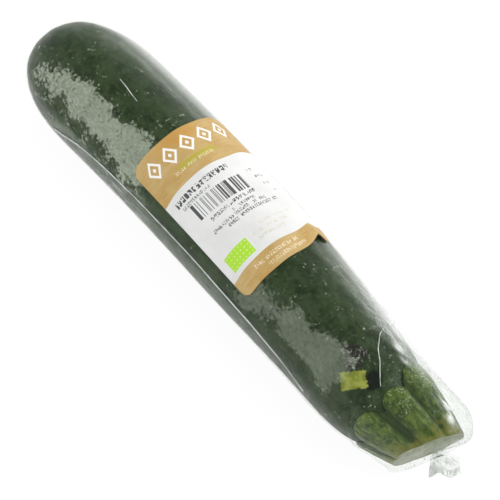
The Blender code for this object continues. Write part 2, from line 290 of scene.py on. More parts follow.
class Tree:
    """A node tree, with short ways to add and join its nodes."""

    def __init__(self, tree, prefix=""):
        self.tree = tree
        self.prefix = prefix

    def join(self, socket, value):
        if isinstance(value, bpy.types.NodeSocket):
            self.tree.links.new(value, socket)
        else:
            socket.default_value = value

    def node(self, kind, inputs=(), **settings):
        made = self.tree.nodes.new(self.prefix + kind)
        for key, value in settings.items():
            setattr(made, key, value)
        for key, value in dict(inputs).items():
            self.join(made.inputs[key], value)
        return made


class Finish(Tree):
    """A material of shader nodes."""

    def __init__(self, name):
        self.material = bpy.data.materials.new(name)
        self.material.use_nodes = True
        super().__init__(self.material.node_tree, "ShaderNode")
        self.tree.nodes.clear()

    def sum(self, operation, *values, clamp=False):
        inputs = dict(enumerate(values))
        return self.node("Math", inputs, operation=operation, use_clamp=clamp).outputs[0]

    def times(self, *values):
        return functools.reduce(lambda a, b: self.sum("MULTIPLY", a, b), values)

    def plus(self, *values, clamp=False):
        return functools.reduce(lambda a, b: self.sum("ADD", a, b, clamp=clamp), values)

    def most(self, *values):
        return functools.reduce(lambda a, b: self.sum("MAXIMUM", a, b), values)

    def step(self, value, low, high, out_low=0.0, out_high=1.0):
        """Soft step of a value from out_low to out_high."""
        inputs = {"Value": value, "From Min": low, "From Max": high, "To Min": out_low, "To Max": out_high}
        return self.node("MapRange", inputs, interpolation_type="SMOOTHSTEP").outputs["Result"]

    def place(self):
        """Object coordinates in metres."""
        return self.node("TexCoord").outputs["Object"]

    def stretched(self, vector, *scale):
        return self.node("Mapping", {"Vector": vector, "Scale": scale}).outputs["Vector"]

    def noise(self, vector, size, detail=3.0, roughness=0.55, shift=0.0):
        """Noise from 0 to 1 with features of about the given size in metres."""
        inputs = {"Vector": vector, "W": shift, "Scale": 1.0 / size}
        inputs.update({"Detail": detail, "Roughness": roughness})
        return self.node("TexNoise", inputs, noise_dimensions="4D").outputs["Fac"]

    def clouded(self, noise, *bounds):
        """Soft step of the noise that a row of its settings describes."""
        return self.step(self.noise(*noise), *bounds)

    def frayed(self, value, noise, share):
        """A value whose borders are frayed by a share of noise."""
        return self.plus(value, self.times(self.plus(noise, -0.5), share))

    def cells(self, vector, size, feature="F1"):
        """Distance from the middle of the nearest cell, or from its edge."""
        inputs = {"Vector": vector, "Scale": 1.0 / size}
        return self.node("TexVoronoi", inputs, feature=feature).outputs["Distance"]

    def dots(self, vector, size, low, high):
        """1 in small round dots, one to a cell, and 0 between them."""
        return self.step(self.cells(vector, size), low, high, 1.0, 0.0)

    def values(self, name):
        return self.node("Attribute", attribute_name=name).outputs["Fac"]

    def blend(self, share, a, b):
        """Colour between a and b."""
        made = self.node("Mix", data_type="RGBA", clamp_factor=True)
        self.join(made.inputs[0], share)
        for index, colour in ((6, a), (7, b)):
            value = colour if isinstance(colour, bpy.types.NodeSocket) else (*colour, 1.0)
            self.join(made.inputs[index], value)
        return made.outputs[2]

    def coated(self, colour, *coats):
        """A colour with coats of (share, colour) laid over it in turn."""
        for share, coat in coats:
            colour = self.blend(share, colour, coat)
        return colour

    def bump(self, height, depth, strength=1.0):
        inputs = {"Height": height, "Distance": depth, "Strength": strength}
        return self.node("Bump", inputs).outputs["Normal"]

    def principled(self, inputs):
        return self.node("BsdfPrincipled", inputs).outputs["BSDF"]

    def mixed(self, share, a, b):
        """Shader between a and b."""
        return self.node("MixShader", {0: share, 1: a, 2: b}).outputs[0]

    def surface(self, shader):
        self.node("OutputMaterial", {"Surface": shader})
        return self.material


# Skin

SCAR_RADIUS = 2.6 * MM
BRUISE = ((192.6, 14.5), 5.2, 6.0)              # place in mm and angle, half length and half width in mm
SMUDGE = ((204.0, 13.0), 3.4, 5.0)
YELLOW_AT = (199.1, 29.5)
YELLOW_HALF_SIZES = (4.9, 3.1)                  # mm, along its long and short side
YELLOW_LONG_SIDE = (0.58, -0.81)                # direction, along the fruit and round it


def spot(x, angle, centre, half_length, half_width):
    """1 at a spot's middle, 0.37 at its rim, for places in metres and angles."""
    (at, around), length, width = centre, half_length * MM, half_width * MM
    across = np.radians(turned(angle - around)) * FULLEST_RADIUS
    return np.exp(-((x - at * MM) / length) ** 2 - (across / width) ** 2)


def yellow_patch(x, angle):
    """1 inside the angular yellow patch, 0.5 on its rim and 0 well outside."""
    at, around = YELLOW_AT
    along = (x - at * MM) / MM
    across = np.radians(turned(angle - around)) * fruit_radius(at * MM) / MM
    long_x, long_y = YELLOW_LONG_SIDE
    long_part = np.abs(along * long_x + across * long_y) / YELLOW_HALF_SIZES[0]
    short_part = np.abs(across * long_x - along * long_y) / YELLOW_HALF_SIZES[1]
    return np.clip(1.5 - np.maximum(long_part, short_part), 0.0, 1.0)


DEEP_GREEN, MID_GREEN = (0.0150, 0.0330, 0.0080), (0.0280, 0.0500, 0.0155)
PALE_MOTTLE, DARK_MOTTLE = (0.0400, 0.0640, 0.0270), (0.0080, 0.0180, 0.0045)
PALE_GRAIN = (0.0600, 0.0880, 0.0430)
PALE_FLECK, DARK_PIT = (0.13, 0.18, 0.09), (0.005, 0.012, 0.004)
BRUISED, CRACKED, SMUDGED = (0.020, 0.016, 0.014), (0.33, 0.35, 0.30), (0.0040, 0.0080, 0.0035)
YELLOW_DEEP, YELLOW_PALE = (0.170, 0.200, 0.022), (0.310, 0.330, 0.060)
SCARRED = (0.17, 0.12, 0.06)


def skin_finish():
    f = Finish("zucchini_skin")
    place = f.place()
    long_place = f.stretched(place, 0.7, 1.0, 1.0)
    drift = f.noise(long_place, 13 * MM, 5.0, 0.6)
    mottle = f.noise(long_place, 3.8 * MM, 5.0, 0.75, 2.0)
    grain = f.noise(place, 1.3 * MM, 2.0, 0.6, 5.0)
    seeded = f.noise(place, 5 * MM, 2.0, 0.5, 9.0)
    fleck = f.times(f.dots(place, 1.9 * MM, 0.10, 0.20), f.step(seeded, 0.52, 0.58))
    pit = f.times(f.dots(place, 2.6 * MM, 0.12, 0.22), f.step(seeded, 0.45, 0.53, 1.0, 0.0))
    fray = f.noise(place, 2.2 * MM, 4.0, 0.7, 12.0)
    bruise = f.frayed(f.values("bruise"), fray, 1.2)
    smudge = f.frayed(f.values("smudge"), fray, 1.0)
    yellow = f.frayed(f.values("yellow"), fray, 1.1)
    scar = f.frayed(f.values("scar"), fray, 0.4)
    cracks = f.cells(f.stretched(place, 0.6, 1.0, 1.0), 1.5 * MM, "DISTANCE_TO_EDGE")
    crack = f.times(f.step(cracks, 0.02, 0.12, 1.0, 0.0), f.step(bruise, 0.30, 0.50))
    crack = f.times(crack, f.clouded((place, 1.2 * MM, 2.0, 0.5, 15.0), 0.46, 0.60))
    tone = f.clouded((place, 3.0 * MM, 3.0, 0.6, 3.0), 0.38, 0.62)
    colour = f.coated(
        f.blend(f.step(drift, 0.38, 0.62), DEEP_GREEN, MID_GREEN),
        (f.step(mottle, 0.50, 0.60, 0.0, 0.7), PALE_MOTTLE),
        (f.step(mottle, 0.39, 0.49, 0.75, 0.0), DARK_MOTTLE),
        (f.step(grain, 0.53, 0.66, 0.0, 0.45), PALE_GRAIN),
        (f.times(fleck, 0.5), PALE_FLECK),
        (f.times(pit, 0.75), DARK_PIT),
        (f.step(bruise, 0.26, 0.60, 0.0, 0.90), BRUISED),
        (f.times(crack, 0.65), CRACKED),
        (f.step(smudge, 0.30, 0.52, 0.0, 0.95), SMUDGED),
        (f.step(yellow, 0.44, 0.56), f.blend(tone, YELLOW_DEEP, YELLOW_PALE)),
        (f.step(scar, 0.35, 0.75), SCARRED),
    )
    return f.surface(f.principled({
        "Base Color": colour,
        "Roughness": f.clouded((place, 4.0 * MM, 2.0, 0.5, 7.0), 0.3, 0.7, 0.36, 0.52),
        "Specular IOR Level": 0.18,
        "Normal": f.bump(f.noise(long_place, 3.4 * MM, 1.0, 0.5, 2.0), 0.20 * MM, 0.7),
    }))


RELIEF, RELIEF_SIZE = 0.05 * MM, 5 * MM
SCAR_RIM, SCAR_DIP = 0.15 * MM, 0.25 * MM


def make_skin():
    x = arc_spaced(SKIN_ROWS, 0.0, FRUIT_LENGTH)[1:-1][:, None]
    x, angle = np.broadcast_arrays(x, columns_of(SKIN_COLUMNS)[None, :])
    plain = on_fruit(x, angle, np.zeros_like(x))
    relief = RELIEF * rough(plain * np.array((0.4, 1.0, 1.0)), RELIEF_SIZE)
    from_tip = fruit_radius(x) / SCAR_RADIUS
    at_blossom = (x < 0.5 * FRUIT_LENGTH) * np.exp(-from_tip ** 4)
    rim = (x < 0.5 * FRUIT_LENGTH) * np.exp(-((from_tip - 1.0) / 0.25) ** 2)
    stand = SKIN_STAND + relief + SCAR_RIM * rim - SCAR_DIP * at_blossom
    rings = pressed_flat(on_fruit(x, angle, stand), FILM_WALL + FIT_GAP - SKIN_STAND)
    first = fruit_axis(0.0) + np.array((SCAR_DIP - SKIN_STAND, 0.0, 0.0))
    last = fruit_axis(FRUIT_LENGTH) + np.array((SKIN_STAND, 0.0, 0.0))
    points, faces = tube(rings, first, last)
    piece = add_piece("zucchini", points, faces, skin_finish())
    add_values(piece, "yellow", yellow_patch(x, angle), (0.0, 0.0))
    add_values(piece, "bruise", spot(x, angle, *BRUISE), (0.0, 0.0))
    add_values(piece, "smudge", spot(x, angle, *SMUDGE), (0.0, 0.0))
    add_values(piece, "scar", at_blossom, (1.0, 0.0))
    dress(piece, "zucchini_skin", "fruit")
    return piece


# Stem

def turn_between(angle, other):
    """Degrees from one angle to another, the short way."""
    return abs(turned(angle - other))


def rib_height(angle):
    """1 on the crest of a rib, 0 in the groove between two."""
    best = 0.0
    for crest, width, _ in STEM_RIBS:
        away = turn_between(angle, crest) / (0.5 * width)
        if away < 1.0:
            best = max(best, (1.0 - away ** RIB_SQUARENESS) ** RIB_FULLNESS)
    return best


def rib_reach(angle):
    """How far the nearest rib runs over the shoulder, eased from one rib to the next."""
    shares = [(turn_between(angle, crest) / width, reach) for crest, width, reach in STEM_RIBS]
    weights = [math.exp(-(away / 0.28) ** 2) for away, _ in shares]
    return sum(w * reach for w, (_, reach) in zip(weights, shares)) / sum(weights)


def cut_radius(angle):
    away = turn_between(angle, CORNER_ANGLE) / CORNER_SPREAD
    return STEM_CUT_RADIUS + CORNER_REACH * math.exp(-away ** 2)


def out_at(angle):
    return Vector(round_the_axis(angle))


def centre_at(x):
    return Vector(fruit_axis(x))


def normal_at(x, angle):
    return Vector(fruit_normal(x, angle))


def head_swell(angle):
    """How far the head of a rib stands out over its straight flank."""
    away = turn_between(angle, BIG_HEAD_ANGLE) / BIG_HEAD_SPREAD
    return RIB_SWELL + BIG_HEAD_SWELL * math.exp(-away ** 2)


def stem_axis(x):
    along = (x - STEM_ROOT_AT) / (STEM_CUT_AT - STEM_ROOT_AT)
    start = centre_at(min(x, FRUIT_LENGTH))
    return Vector((x, start.y + STEM_LEAN * along, start.z))


def fruit_x_at_radius(radius):
    low, high = FRUIT_LENGTH - SHOULDER_ROUNDING, FRUIT_LENGTH
    for _ in range(SEARCH_STEPS):
        middle = 0.5 * (low + high)
        low, high = (middle, high) if fruit_radius(middle) > radius else (low, middle)
    return low


def cut_x(offset):
    """X of the cut face at an offset from its centre, square to X."""
    return STEM_CUT_AT - (CUT_NORMAL.y * offset.y + CUT_NORMAL.z * offset.z) / CUT_NORMAL.x


def stem_flank(angle, height, rows):
    """Points from the stem's edge on the shoulder, out round the rib and up to the cut's edge."""
    out = out_at(angle)
    foot = STEM_BASE_RADIUS * rib_reach(angle) - RIB_DEPTH * (1.0 - height)
    edge = cut_radius(angle) - RIB_DEPTH_AT_CUT * (1.0 - height)
    x = fruit_x_at_radius(foot)
    rim = centre_at(x) + out * foot + normal_at(x, angle) * (FIT_GAP + RIM_THICKNESS)
    end = stem_axis(STEM_CUT_AT) + out * edge
    end.x = cut_x(out * edge)
    bulge = head_swell(angle) * (GROOVE_SWELL + (1.0 - GROOVE_SWELL) * height)
    lean = math.radians(SWELL_LEAN)
    towards = out * math.cos(lean) - Vector((math.sin(lean), 0.0, 0.0))
    points = []
    for i in range(rows + 1):
        t = i / rows
        swell = bulge * (4.0 * t * (1.0 - t)) ** SWELL_FULLNESS * (1.0 - SWELL_FADE * t)
        points.append(rim.lerp(end, t) + towards * swell)
    return points


STRIPE_DEPTH = 0.26 * MM        # fine lengthwise ridges of the stem
STREAK_DEPTH, KNOB_DEPTH = 0.7 * 0.42 * MM, 0.5 * 0.42 * MM
STREAKS, STRIPES = 9.0, 26.0    # per radian
KNOB_SIZE = 2.2 * MM
UNDER_REACH = 0.97              # how far under the rim the stem begins, as a share of the foot
CUT_DISH = 0.5 * MM             # the cut has dried a little hollow
CUT_LIP, CUT_LIP_WIDTH = 0.25 * MM, 0.7 * MM
CUT_GRAIN, CUT_GRAIN_SIZE = 0.12 * MM, 0.9 * MM
STEM_SPOT = ((0.90, -62.0), 0.10, 11.0)         # share of the flank and angle, half sizes in the same

STEM_DEEP, STEM_LIGHT = (0.040, 0.078, 0.006), (0.085, 0.135, 0.014)
STEM_STREAK, STEM_MOTTLE, STEM_GROOVE_SHADE = (0.150, 0.205, 0.036), (0.016, 0.036, 0.004), (0.020, 0.038, 0.007)
STEM_SPECK, STEM_DRIED, STEM_DARK = (0.36, 0.44, 0.19), (0.135, 0.140, 0.010), (0.020, 0.024, 0.004)
CUT_DEEP, CUT_PALE, CUT_PORE = (0.105, 0.125, 0.050), (0.220, 0.245, 0.130), (0.10, 0.13, 0.045)


def stem_finish():
    f = Finish("stem_green")
    place = f.place()
    rib, along = f.values("rib"), f.values("along")
    streaks = f.noise(f.stretched(place, 0.25, 1.0, 1.0), 1.8 * MM, 4.0, 0.65)
    clouds = f.noise(place, 4 * MM, 4.0, 0.6, 4.0)
    mottle = f.noise(f.stretched(place, 0.6, 1.0, 1.0), 1.9 * MM, 4.0, 0.7, 9.0)
    specks = f.frayed(f.cells(place, 0.95 * MM), mottle, 0.5)
    speck = f.times(f.step(specks, 0.18, 0.36, 1.0, 0.0), f.step(clouds, 0.42, 0.54))
    head = f.times(f.step(along, 0.15, 0.60, 1.0, 0.15), f.step(rib, 0.35, 0.85))
    tissue = f.noise(f.stretched(place, 0.4, 1.0, 0.4), 1.8 * MM, 4.0, 0.65, 6.0)
    pale = f.blend(f.step(tissue, 0.38, 0.62), CUT_DEEP, CUT_PALE)
    pale = f.blend(f.step(f.cells(place, 1.1 * MM), 0.10, 0.28, 0.45, 0.0), pale, CUT_PORE)
    colour = f.coated(
        f.blend(f.step(clouds, 0.38, 0.60), STEM_DEEP, STEM_LIGHT),
        (f.step(streaks, 0.52, 0.64, 0.0, 0.6), STEM_STREAK),
        (f.step(mottle, 0.42, 0.52, 0.85, 0.0), STEM_MOTTLE),
        # Painted shade: darker in the grooves between the ribs
        (f.step(f.frayed(rib, mottle, 0.9), 0.20, 0.70, 0.9, 0.0), STEM_GROOVE_SHADE),
        (f.times(speck, head, 0.75), STEM_SPECK),
        (f.step(f.frayed(along, clouds, 1.2), 0.74, 0.94, 0.0, 0.85), STEM_DRIED),
        (f.step(f.frayed(f.values("spot"), mottle, 1.2), 0.35, 0.6, 0.0, 0.92), STEM_DARK),
        (f.step(f.values("cut"), 0.55, 0.92), pale),
    )
    relief = f.noise(f.stretched(place, 0.5, 1.0, 1.0), 1.9 * MM, 1.0, 0.5, 9.0)
    return f.surface(f.principled({
        "Base Color": colour,
        "Roughness": f.step(clouds, 0.3, 0.7, 0.30, 0.46),
        "Specular IOR Level": 0.40,
        "Subsurface Weight": 0.05,
        "Subsurface Radius": (0.5, 1.0, 0.2),
        "Subsurface Scale": 1.0 * MM,
        "Normal": f.bump(relief, 0.35 * MM, 0.8),
    }))


def stem_column(angle, height):
    """Points at one angle: under the rim, up the rib's flank and in over the cut face."""
    out = out_at(angle)
    turn = math.radians(angle)
    centre = stem_axis(STEM_CUT_AT)
    normal = CUT_NORMAL.normalized()
    flank = stem_flank(angle, height, STEM_FLANK_ROWS)
    foot = (flank[0] - centre_at(flank[0].x)).length
    column = []
    for i in range(1, STEM_UNDER_ROWS + 1):
        radius = foot * UNDER_REACH * i / STEM_UNDER_ROWS
        x = fruit_x_at_radius(radius)
        column.append(centre_at(x) + out * radius + normal_at(x, angle) * FIT_GAP)
    for i, point in enumerate(flank):
        t = i / STEM_FLANK_ROWS
        streak = noise.noise(Vector((turn * STREAKS, 0.6 * t, 3.0)))
        stripe = abs(noise.noise(Vector((turn * STRIPES, 1.1 * t, 7.0))))
        knob = noise.noise((point + Vector((0.5, 0.0, 0.0))) / KNOB_SIZE)
        push = STREAK_DEPTH * streak + KNOB_DEPTH * knob * (1.0 - t) - STRIPE_DEPTH * stripe
        fade = max(math.sin(math.pi * t), 0.0) ** 0.5
        column.append(point + (point - stem_axis(point.x)).normalized() * (push * fade))
    rim = flank[-1] - centre
    for i in range(1, STEM_FACE_ROWS):
        share = 1.0 - i / STEM_FACE_ROWS
        lip = CUT_LIP * math.exp(-((1.0 - share) * rim.length / CUT_LIP_WIDTH) ** 2)
        dish = CUT_DISH * (1.0 - share ** 3)
        grain = CUT_GRAIN * noise.noise((centre + rim * share) / CUT_GRAIN_SIZE) * (1.0 - share ** 6)
        column.append(centre + rim * share + normal * (lip - CUT_LIP - dish + grain))
    return as_array(column)


def make_stem():
    angles = columns_of(STEM_COLUMNS)
    heights = np.array([rib_height(a) for a in angles])
    rings = np.stack([stem_column(a, height) for a, height in zip(angles, heights)], axis=1)
    flank = np.arange(STEM_FLANK_ROWS + 1) / STEM_FLANK_ROWS
    along = np.concatenate([np.zeros(STEM_UNDER_ROWS), flank, np.ones(STEM_FACE_ROWS - 1)])[:, None]
    cut = (np.arange(len(along)) > STEM_UNDER_ROWS + STEM_FLANK_ROWS)[:, None]
    root = fruit_axis(FRUIT_LENGTH) + np.array((FIT_GAP, 0.0, 0.0))
    middle = np.array(stem_axis(STEM_CUT_AT) - CUT_NORMAL.normalized() * (CUT_LIP + CUT_DISH))
    points, faces = tube(rings, root, middle)
    piece = add_piece("stem_ribbed", points, faces, stem_finish())
    (at, around), long_half, angle_half = STEM_SPOT
    away = turned(angles[None, :] - around) / angle_half
    here = np.exp(-((along - at) / long_half) ** 2 - away ** 2) * ~cut
    for name, field, ends in (("rib", heights, (1, 1)), ("along", along, (0, 1)), ("cut", cut, (0, 1)),
                              ("spot", here, (0, 0))):
        add_values(piece, name, np.broadcast_to(field, rings.shape[:2]), ends)
    dress(piece, "stem_green", "stem")
    return piece


# Film

# Fog under the film, at the blossom and the stem end also painted reflection of the light from the left:
# courses of its upper and lower border, in mm from the tip and angle, and its ends in mm
BLOSSOM_FOG_SHEEN = (
    ((10, 44), (24, 33), (37, 25), (43, 22.5), (54, 27), (61, 26), (67, 21), (80, 24)),
    ((10, 78), (21, 72), (27, 68), (36, 67), (44, 69), (53, 72), (62, 72), (69, 74), (80, 66)),
    (12, 82),
)
SEAM_FOG = (
    ((30, 84), (40, 70), (55, 70), (80, 66)),
    ((30, 96), (40, 90), (55, 80), (80, 76)),
    (28, 90),
)
STEM_FOG_SHEEN = (
    ((146, 23), (155, 30), (160, 30), (166, 25), (175, 29), (186, 14), (194, 18)),
    ((146, 68), (160, 60), (176, 58), (186, 62), (194, 62)),
    (142, 195),
)
FOG_EDGE = 3.2 * MM             # width over which the fog thins out
SOFT_FOG_EDGE = 3.6 * MM
SEEN_MIDDLE, SEEN_HALF = 30.0, 85.0             # about the angles that the photograph shows
FAR_FOG_SIZE = 22 * MM
PATCH_SPREAD = 1.25
# Places where the film clings to the wet skin: mm from the tip, angle, half sizes in mm, strength
WET_PATCHES = (
    (24.0, 66, 3.0, 2.4, 0.8),
    (34.4, 61, 4.0, 3.4, 1.0),
    (46.5, 64, 4.4, 2.6, 1.0),
    (57.5, 65, 4.8, 2.8, 1.0),
    (66.5, 66, 3.2, 2.6, 0.9),
    (45.3, 18, 2.8, 2.6, 0.9),
    (56.0, 21, 2.8, 2.4, 0.9),
    (154.0, 33, 7.0, 5.0, 0.75),
    (160.0, 56, 7.0, 3.0, 0.7),
    (177.8, 62, 10.0, 2.4, 0.8),
)
# How crinkled and glossy the film's +Y side is, and how much painted reflection lies on it as milk: mm from
# the tip and share
CRINKLES_AND_SHEEN = ((4, 0.0), (40, 0.35), (75, 0.30), (100, 0.03), (142, 0.03), (170, 0.45), (190, 1.1))
# Painted highlights, white glints on the film over the stem's ribs: mm from the tip, angle, half sizes in mm,
# strength
PAINTED_GLARES = (
    (220.8, -41, 2.4, 1.9, 0.8),
    (226.7, -29, 3.2, 2.4, 1.0),
    (231.2, -23, 2.2, 1.8, 0.8),
    (199.4, -30.5, 2.2, 1.3, 0.65),
    (204.6, -25.5, 1.6, 1.0, 0.6),
)
# The welded seam: mm from the tip and angle
SEAM_COURSE = ((33, 96), (40.6, 89), (49.1, 81.3), (63.5, 77.3), (81.7, 74.9), (106.2, 73.9),
               (121.6, 73.2), (152.1, 76.4), (171.3, 81.4), (184, 90))


def along_course(course, x):
    """Value of a course of (mm from the tip, value) at places along the fruit."""
    at, value = np.array(course, dtype=float).T
    return np.interp(x, at * MM, value)


def band(x, angle, upper, lower, ends, edge):
    """1 inside a band round the fruit, 0.5 on its border and 0 outside, over the edge's width."""
    around = np.minimum(angle - along_course(upper, x), along_course(lower, x) - angle)
    along = np.minimum(x - ends[0] * MM, ends[1] * MM - x)
    depth = np.minimum(np.radians(around) * FULLEST_RADIUS, along)
    return np.clip(0.5 + depth / (2.0 * edge), 0.0, 1.0)


def patches(x, angle, table):
    """Strongest of the patches in a table at places and angles."""
    best = np.zeros(np.broadcast(x, angle).shape)
    for at, around, long_half, wide_half, strength in table:
        halves = (long_half * PATCH_SPREAD, wide_half * PATCH_SPREAD)
        best = np.maximum(best, strength * spot(x, angle, (at, around), *halves))
    return best


def ramp(value, low, high):
    """Smooth rise of an array from 0 at low to 1 at high."""
    share = np.clip((np.asarray(value) - low) / (high - low), 0.0, 1.0)
    return share * share * (3.0 - 2.0 * share)


def web_ring(x, half_width, half_height, side_shift):
    """Film round the stem, an oval that leans."""
    centre = stem_axis(x) + Vector((0.0, side_shift, 0.0))
    wide, high = out_at(90.0 + WEB_ROLL), out_at(WEB_ROLL)
    ring = []
    for angle in columns_of(FILM_COLUMNS):
        turn = math.radians(angle - WEB_ROLL)
        point = centre + wide * (half_width * math.sin(turn)) + high * (half_height * math.cos(turn))
        point.x += (point.y - centre.y) * math.tan(math.radians(WEB_SLANT))
        ring.append(point)
    return as_array(ring)


def cut_ring(share):
    """Film over the cut face, drawn in to the tail's root as the share falls."""
    centre = stem_axis(STEM_CUT_AT)
    ring = []
    for angle in columns_of(FILM_COLUMNS):
        offset = out_at(angle) * (share * (cut_radius(angle) + EDGE_COVER)) + TAIL_ROOT * (1.0 - share)
        point = centre + offset
        point.x = cut_x(offset)
        ring.append(point + CUT_NORMAL * CUT_COVER)
    return as_array(ring)


def tail_ring(along):
    """Folded tail, from its neck to its mouth."""
    root = stem_axis(STEM_CUT_AT) + TAIL_ROOT
    root.x = cut_x(TAIL_ROOT)
    centre = root + CUT_NORMAL * CUT_COVER + TAIL_DIRECTION * (TAIL_LENGTH * along)
    side = TAIL_DIRECTION.cross(Vector((0.0, 0.0, 1.0))).normalized()
    over = side.cross(TAIL_DIRECTION).normalized()
    wide = TAIL_NECK_HALF_WIDTH + (TAIL_MOUTH_HALF_WIDTH - TAIL_NECK_HALF_WIDTH) * along
    high = TAIL_NECK_HALF_HEIGHT + (TAIL_MOUTH_HALF_HEIGHT - TAIL_NECK_HALF_HEIGHT) * along
    ring = []
    for angle in columns_of(FILM_COLUMNS):
        turn = math.radians(angle)
        fold = 1.0 + TAIL_FOLD_DEPTH * along * math.cos(TAIL_FOLDS * turn + TAIL_FOLD_TURN)
        lip = TAIL_DIRECTION * (TAIL_LIP_WAVE * along * math.sin(TAIL_LIP_WAVES * turn))
        across = over * (high * fold * math.cos(turn)) - side * (wide * fold * math.sin(turn))
        ring.append(centre + across + lip)
    return as_array(ring)


def corner_cut(rows):
    """The rows with every corner between first and last rounded off."""
    smooth = [rows[0]]
    for near, far in zip(rows, rows[1:]):
        smooth.append(near + (far - near) * CORNER_SHARE)
        smooth.append(far + (near - far) * CORNER_SHARE)
    smooth.append(rows[-1])
    return smooth


@functools.lru_cache(maxsize=None)
def crest_flank(angle):
    return stem_flank(angle, 1.0, STEM_FLANK_ROWS // 3)


def crest_radius(x, angle):
    """Distance of a rib's crest from the stem's axis at x, 0 beyond the flank's ends."""
    flank = crest_flank(float(round(angle)))
    for near, far in zip(flank, flank[1:]):
        if near.x <= x <= far.x:
            return (near.lerp(far, (x - near.x) / (far.x - near.x)) - stem_axis(x)).length
    return 0.0


def clear_of_pieces(point):
    """The point, moved straight out where the film would touch the shoulder or a rib."""
    x = point.x
    if x < FRUIT_LENGTH - SHOULDER_TOP:
        centre = centre_at(x)
        outward = point - centre
        needed = float(fruit_radius(x) + FILM_CLEARANCE * math.hypot(1.0, fruit_slope(x)))
        if outward.length < needed:
            point = centre + outward.normalized() * needed
    if (point - stem_axis(STEM_CUT_AT)).dot(CUT_NORMAL) > 0.0:
        return point
    outward = point - stem_axis(x)
    crest = crest_radius(x, math.degrees(math.atan2(-outward.y, outward.z)))
    if 0.0 < crest and outward.length < crest + FILM_CLEARANCE:
        point = stem_axis(x) + outward.normalized() * (crest + FILM_CLEARANCE)
    return point


def ring_normals(rings, first):
    """Outward directions at rings of points. first is the pole before them."""
    before = np.concatenate([np.broadcast_to(first, rings[:1].shape), rings[:-1]])
    after = np.concatenate([rings[1:], rings[-1:]])
    around = np.roll(rings, -1, axis=1) - np.roll(rings, 1, axis=1)
    normal = np.cross(around, after - before)
    return normal / np.linalg.norm(normal, axis=-1, keepdims=True)


WRINKLES_FROM = 135.0 * MM      # the film is smooth up to here
WRINKLE_SIZE, RIPPLE_SIZE = 3.2 * MM, 1.5 * MM
WRINKLE_STRETCH = 0.28          # wrinkles run lengthwise
WRINKLE_ON_FRUIT = 0.16 * MM
WRINKLE_ROUND_STEM = 0.7 * MM
LOOSE_SIDE, LOOSE_SPREAD = -62.0, 24.0          # where the film is loosest
STEM_SHARE = 0.35               # share of the film past the shoulder in which it grows loose
TAIL_FROM = 0.72                # share of it where the tail begins
TAIL_CRUMPLE = 0.8 * MM
TAIL_FOLD_SIZE = 3.6 * MM
TAIL_PLEATS = 17
TAIL_PLEAT_DEPTH = 0.32 * MM

# The fog shares also carry painted reflection of the light from the left
FOG_SHEEN_MILK, THIN_FOG_SHEEN_MILK, OVERLAP_MILK = 0.335, 0.118, 0.20      # share of light each turns back
DROP_CLEARING = 0.6
FACE_SHINE, EDGE_SHINE, CRINKLE_SHINE, SHINE_POWER = 0.007, 0.20, 2.1, 4.5
FOG_SHEEN_TONE, COOL_TONE = (0.56, 0.63, 0.49), (0.60, 0.62, 0.60)
SIDE_SHEEN_TONE, WHITE_TONE = (0.72, 0.76, 0.70), (0.86, 0.88, 0.85)
FILM_TINT = (0.985, 0.99, 0.985, 1.0)


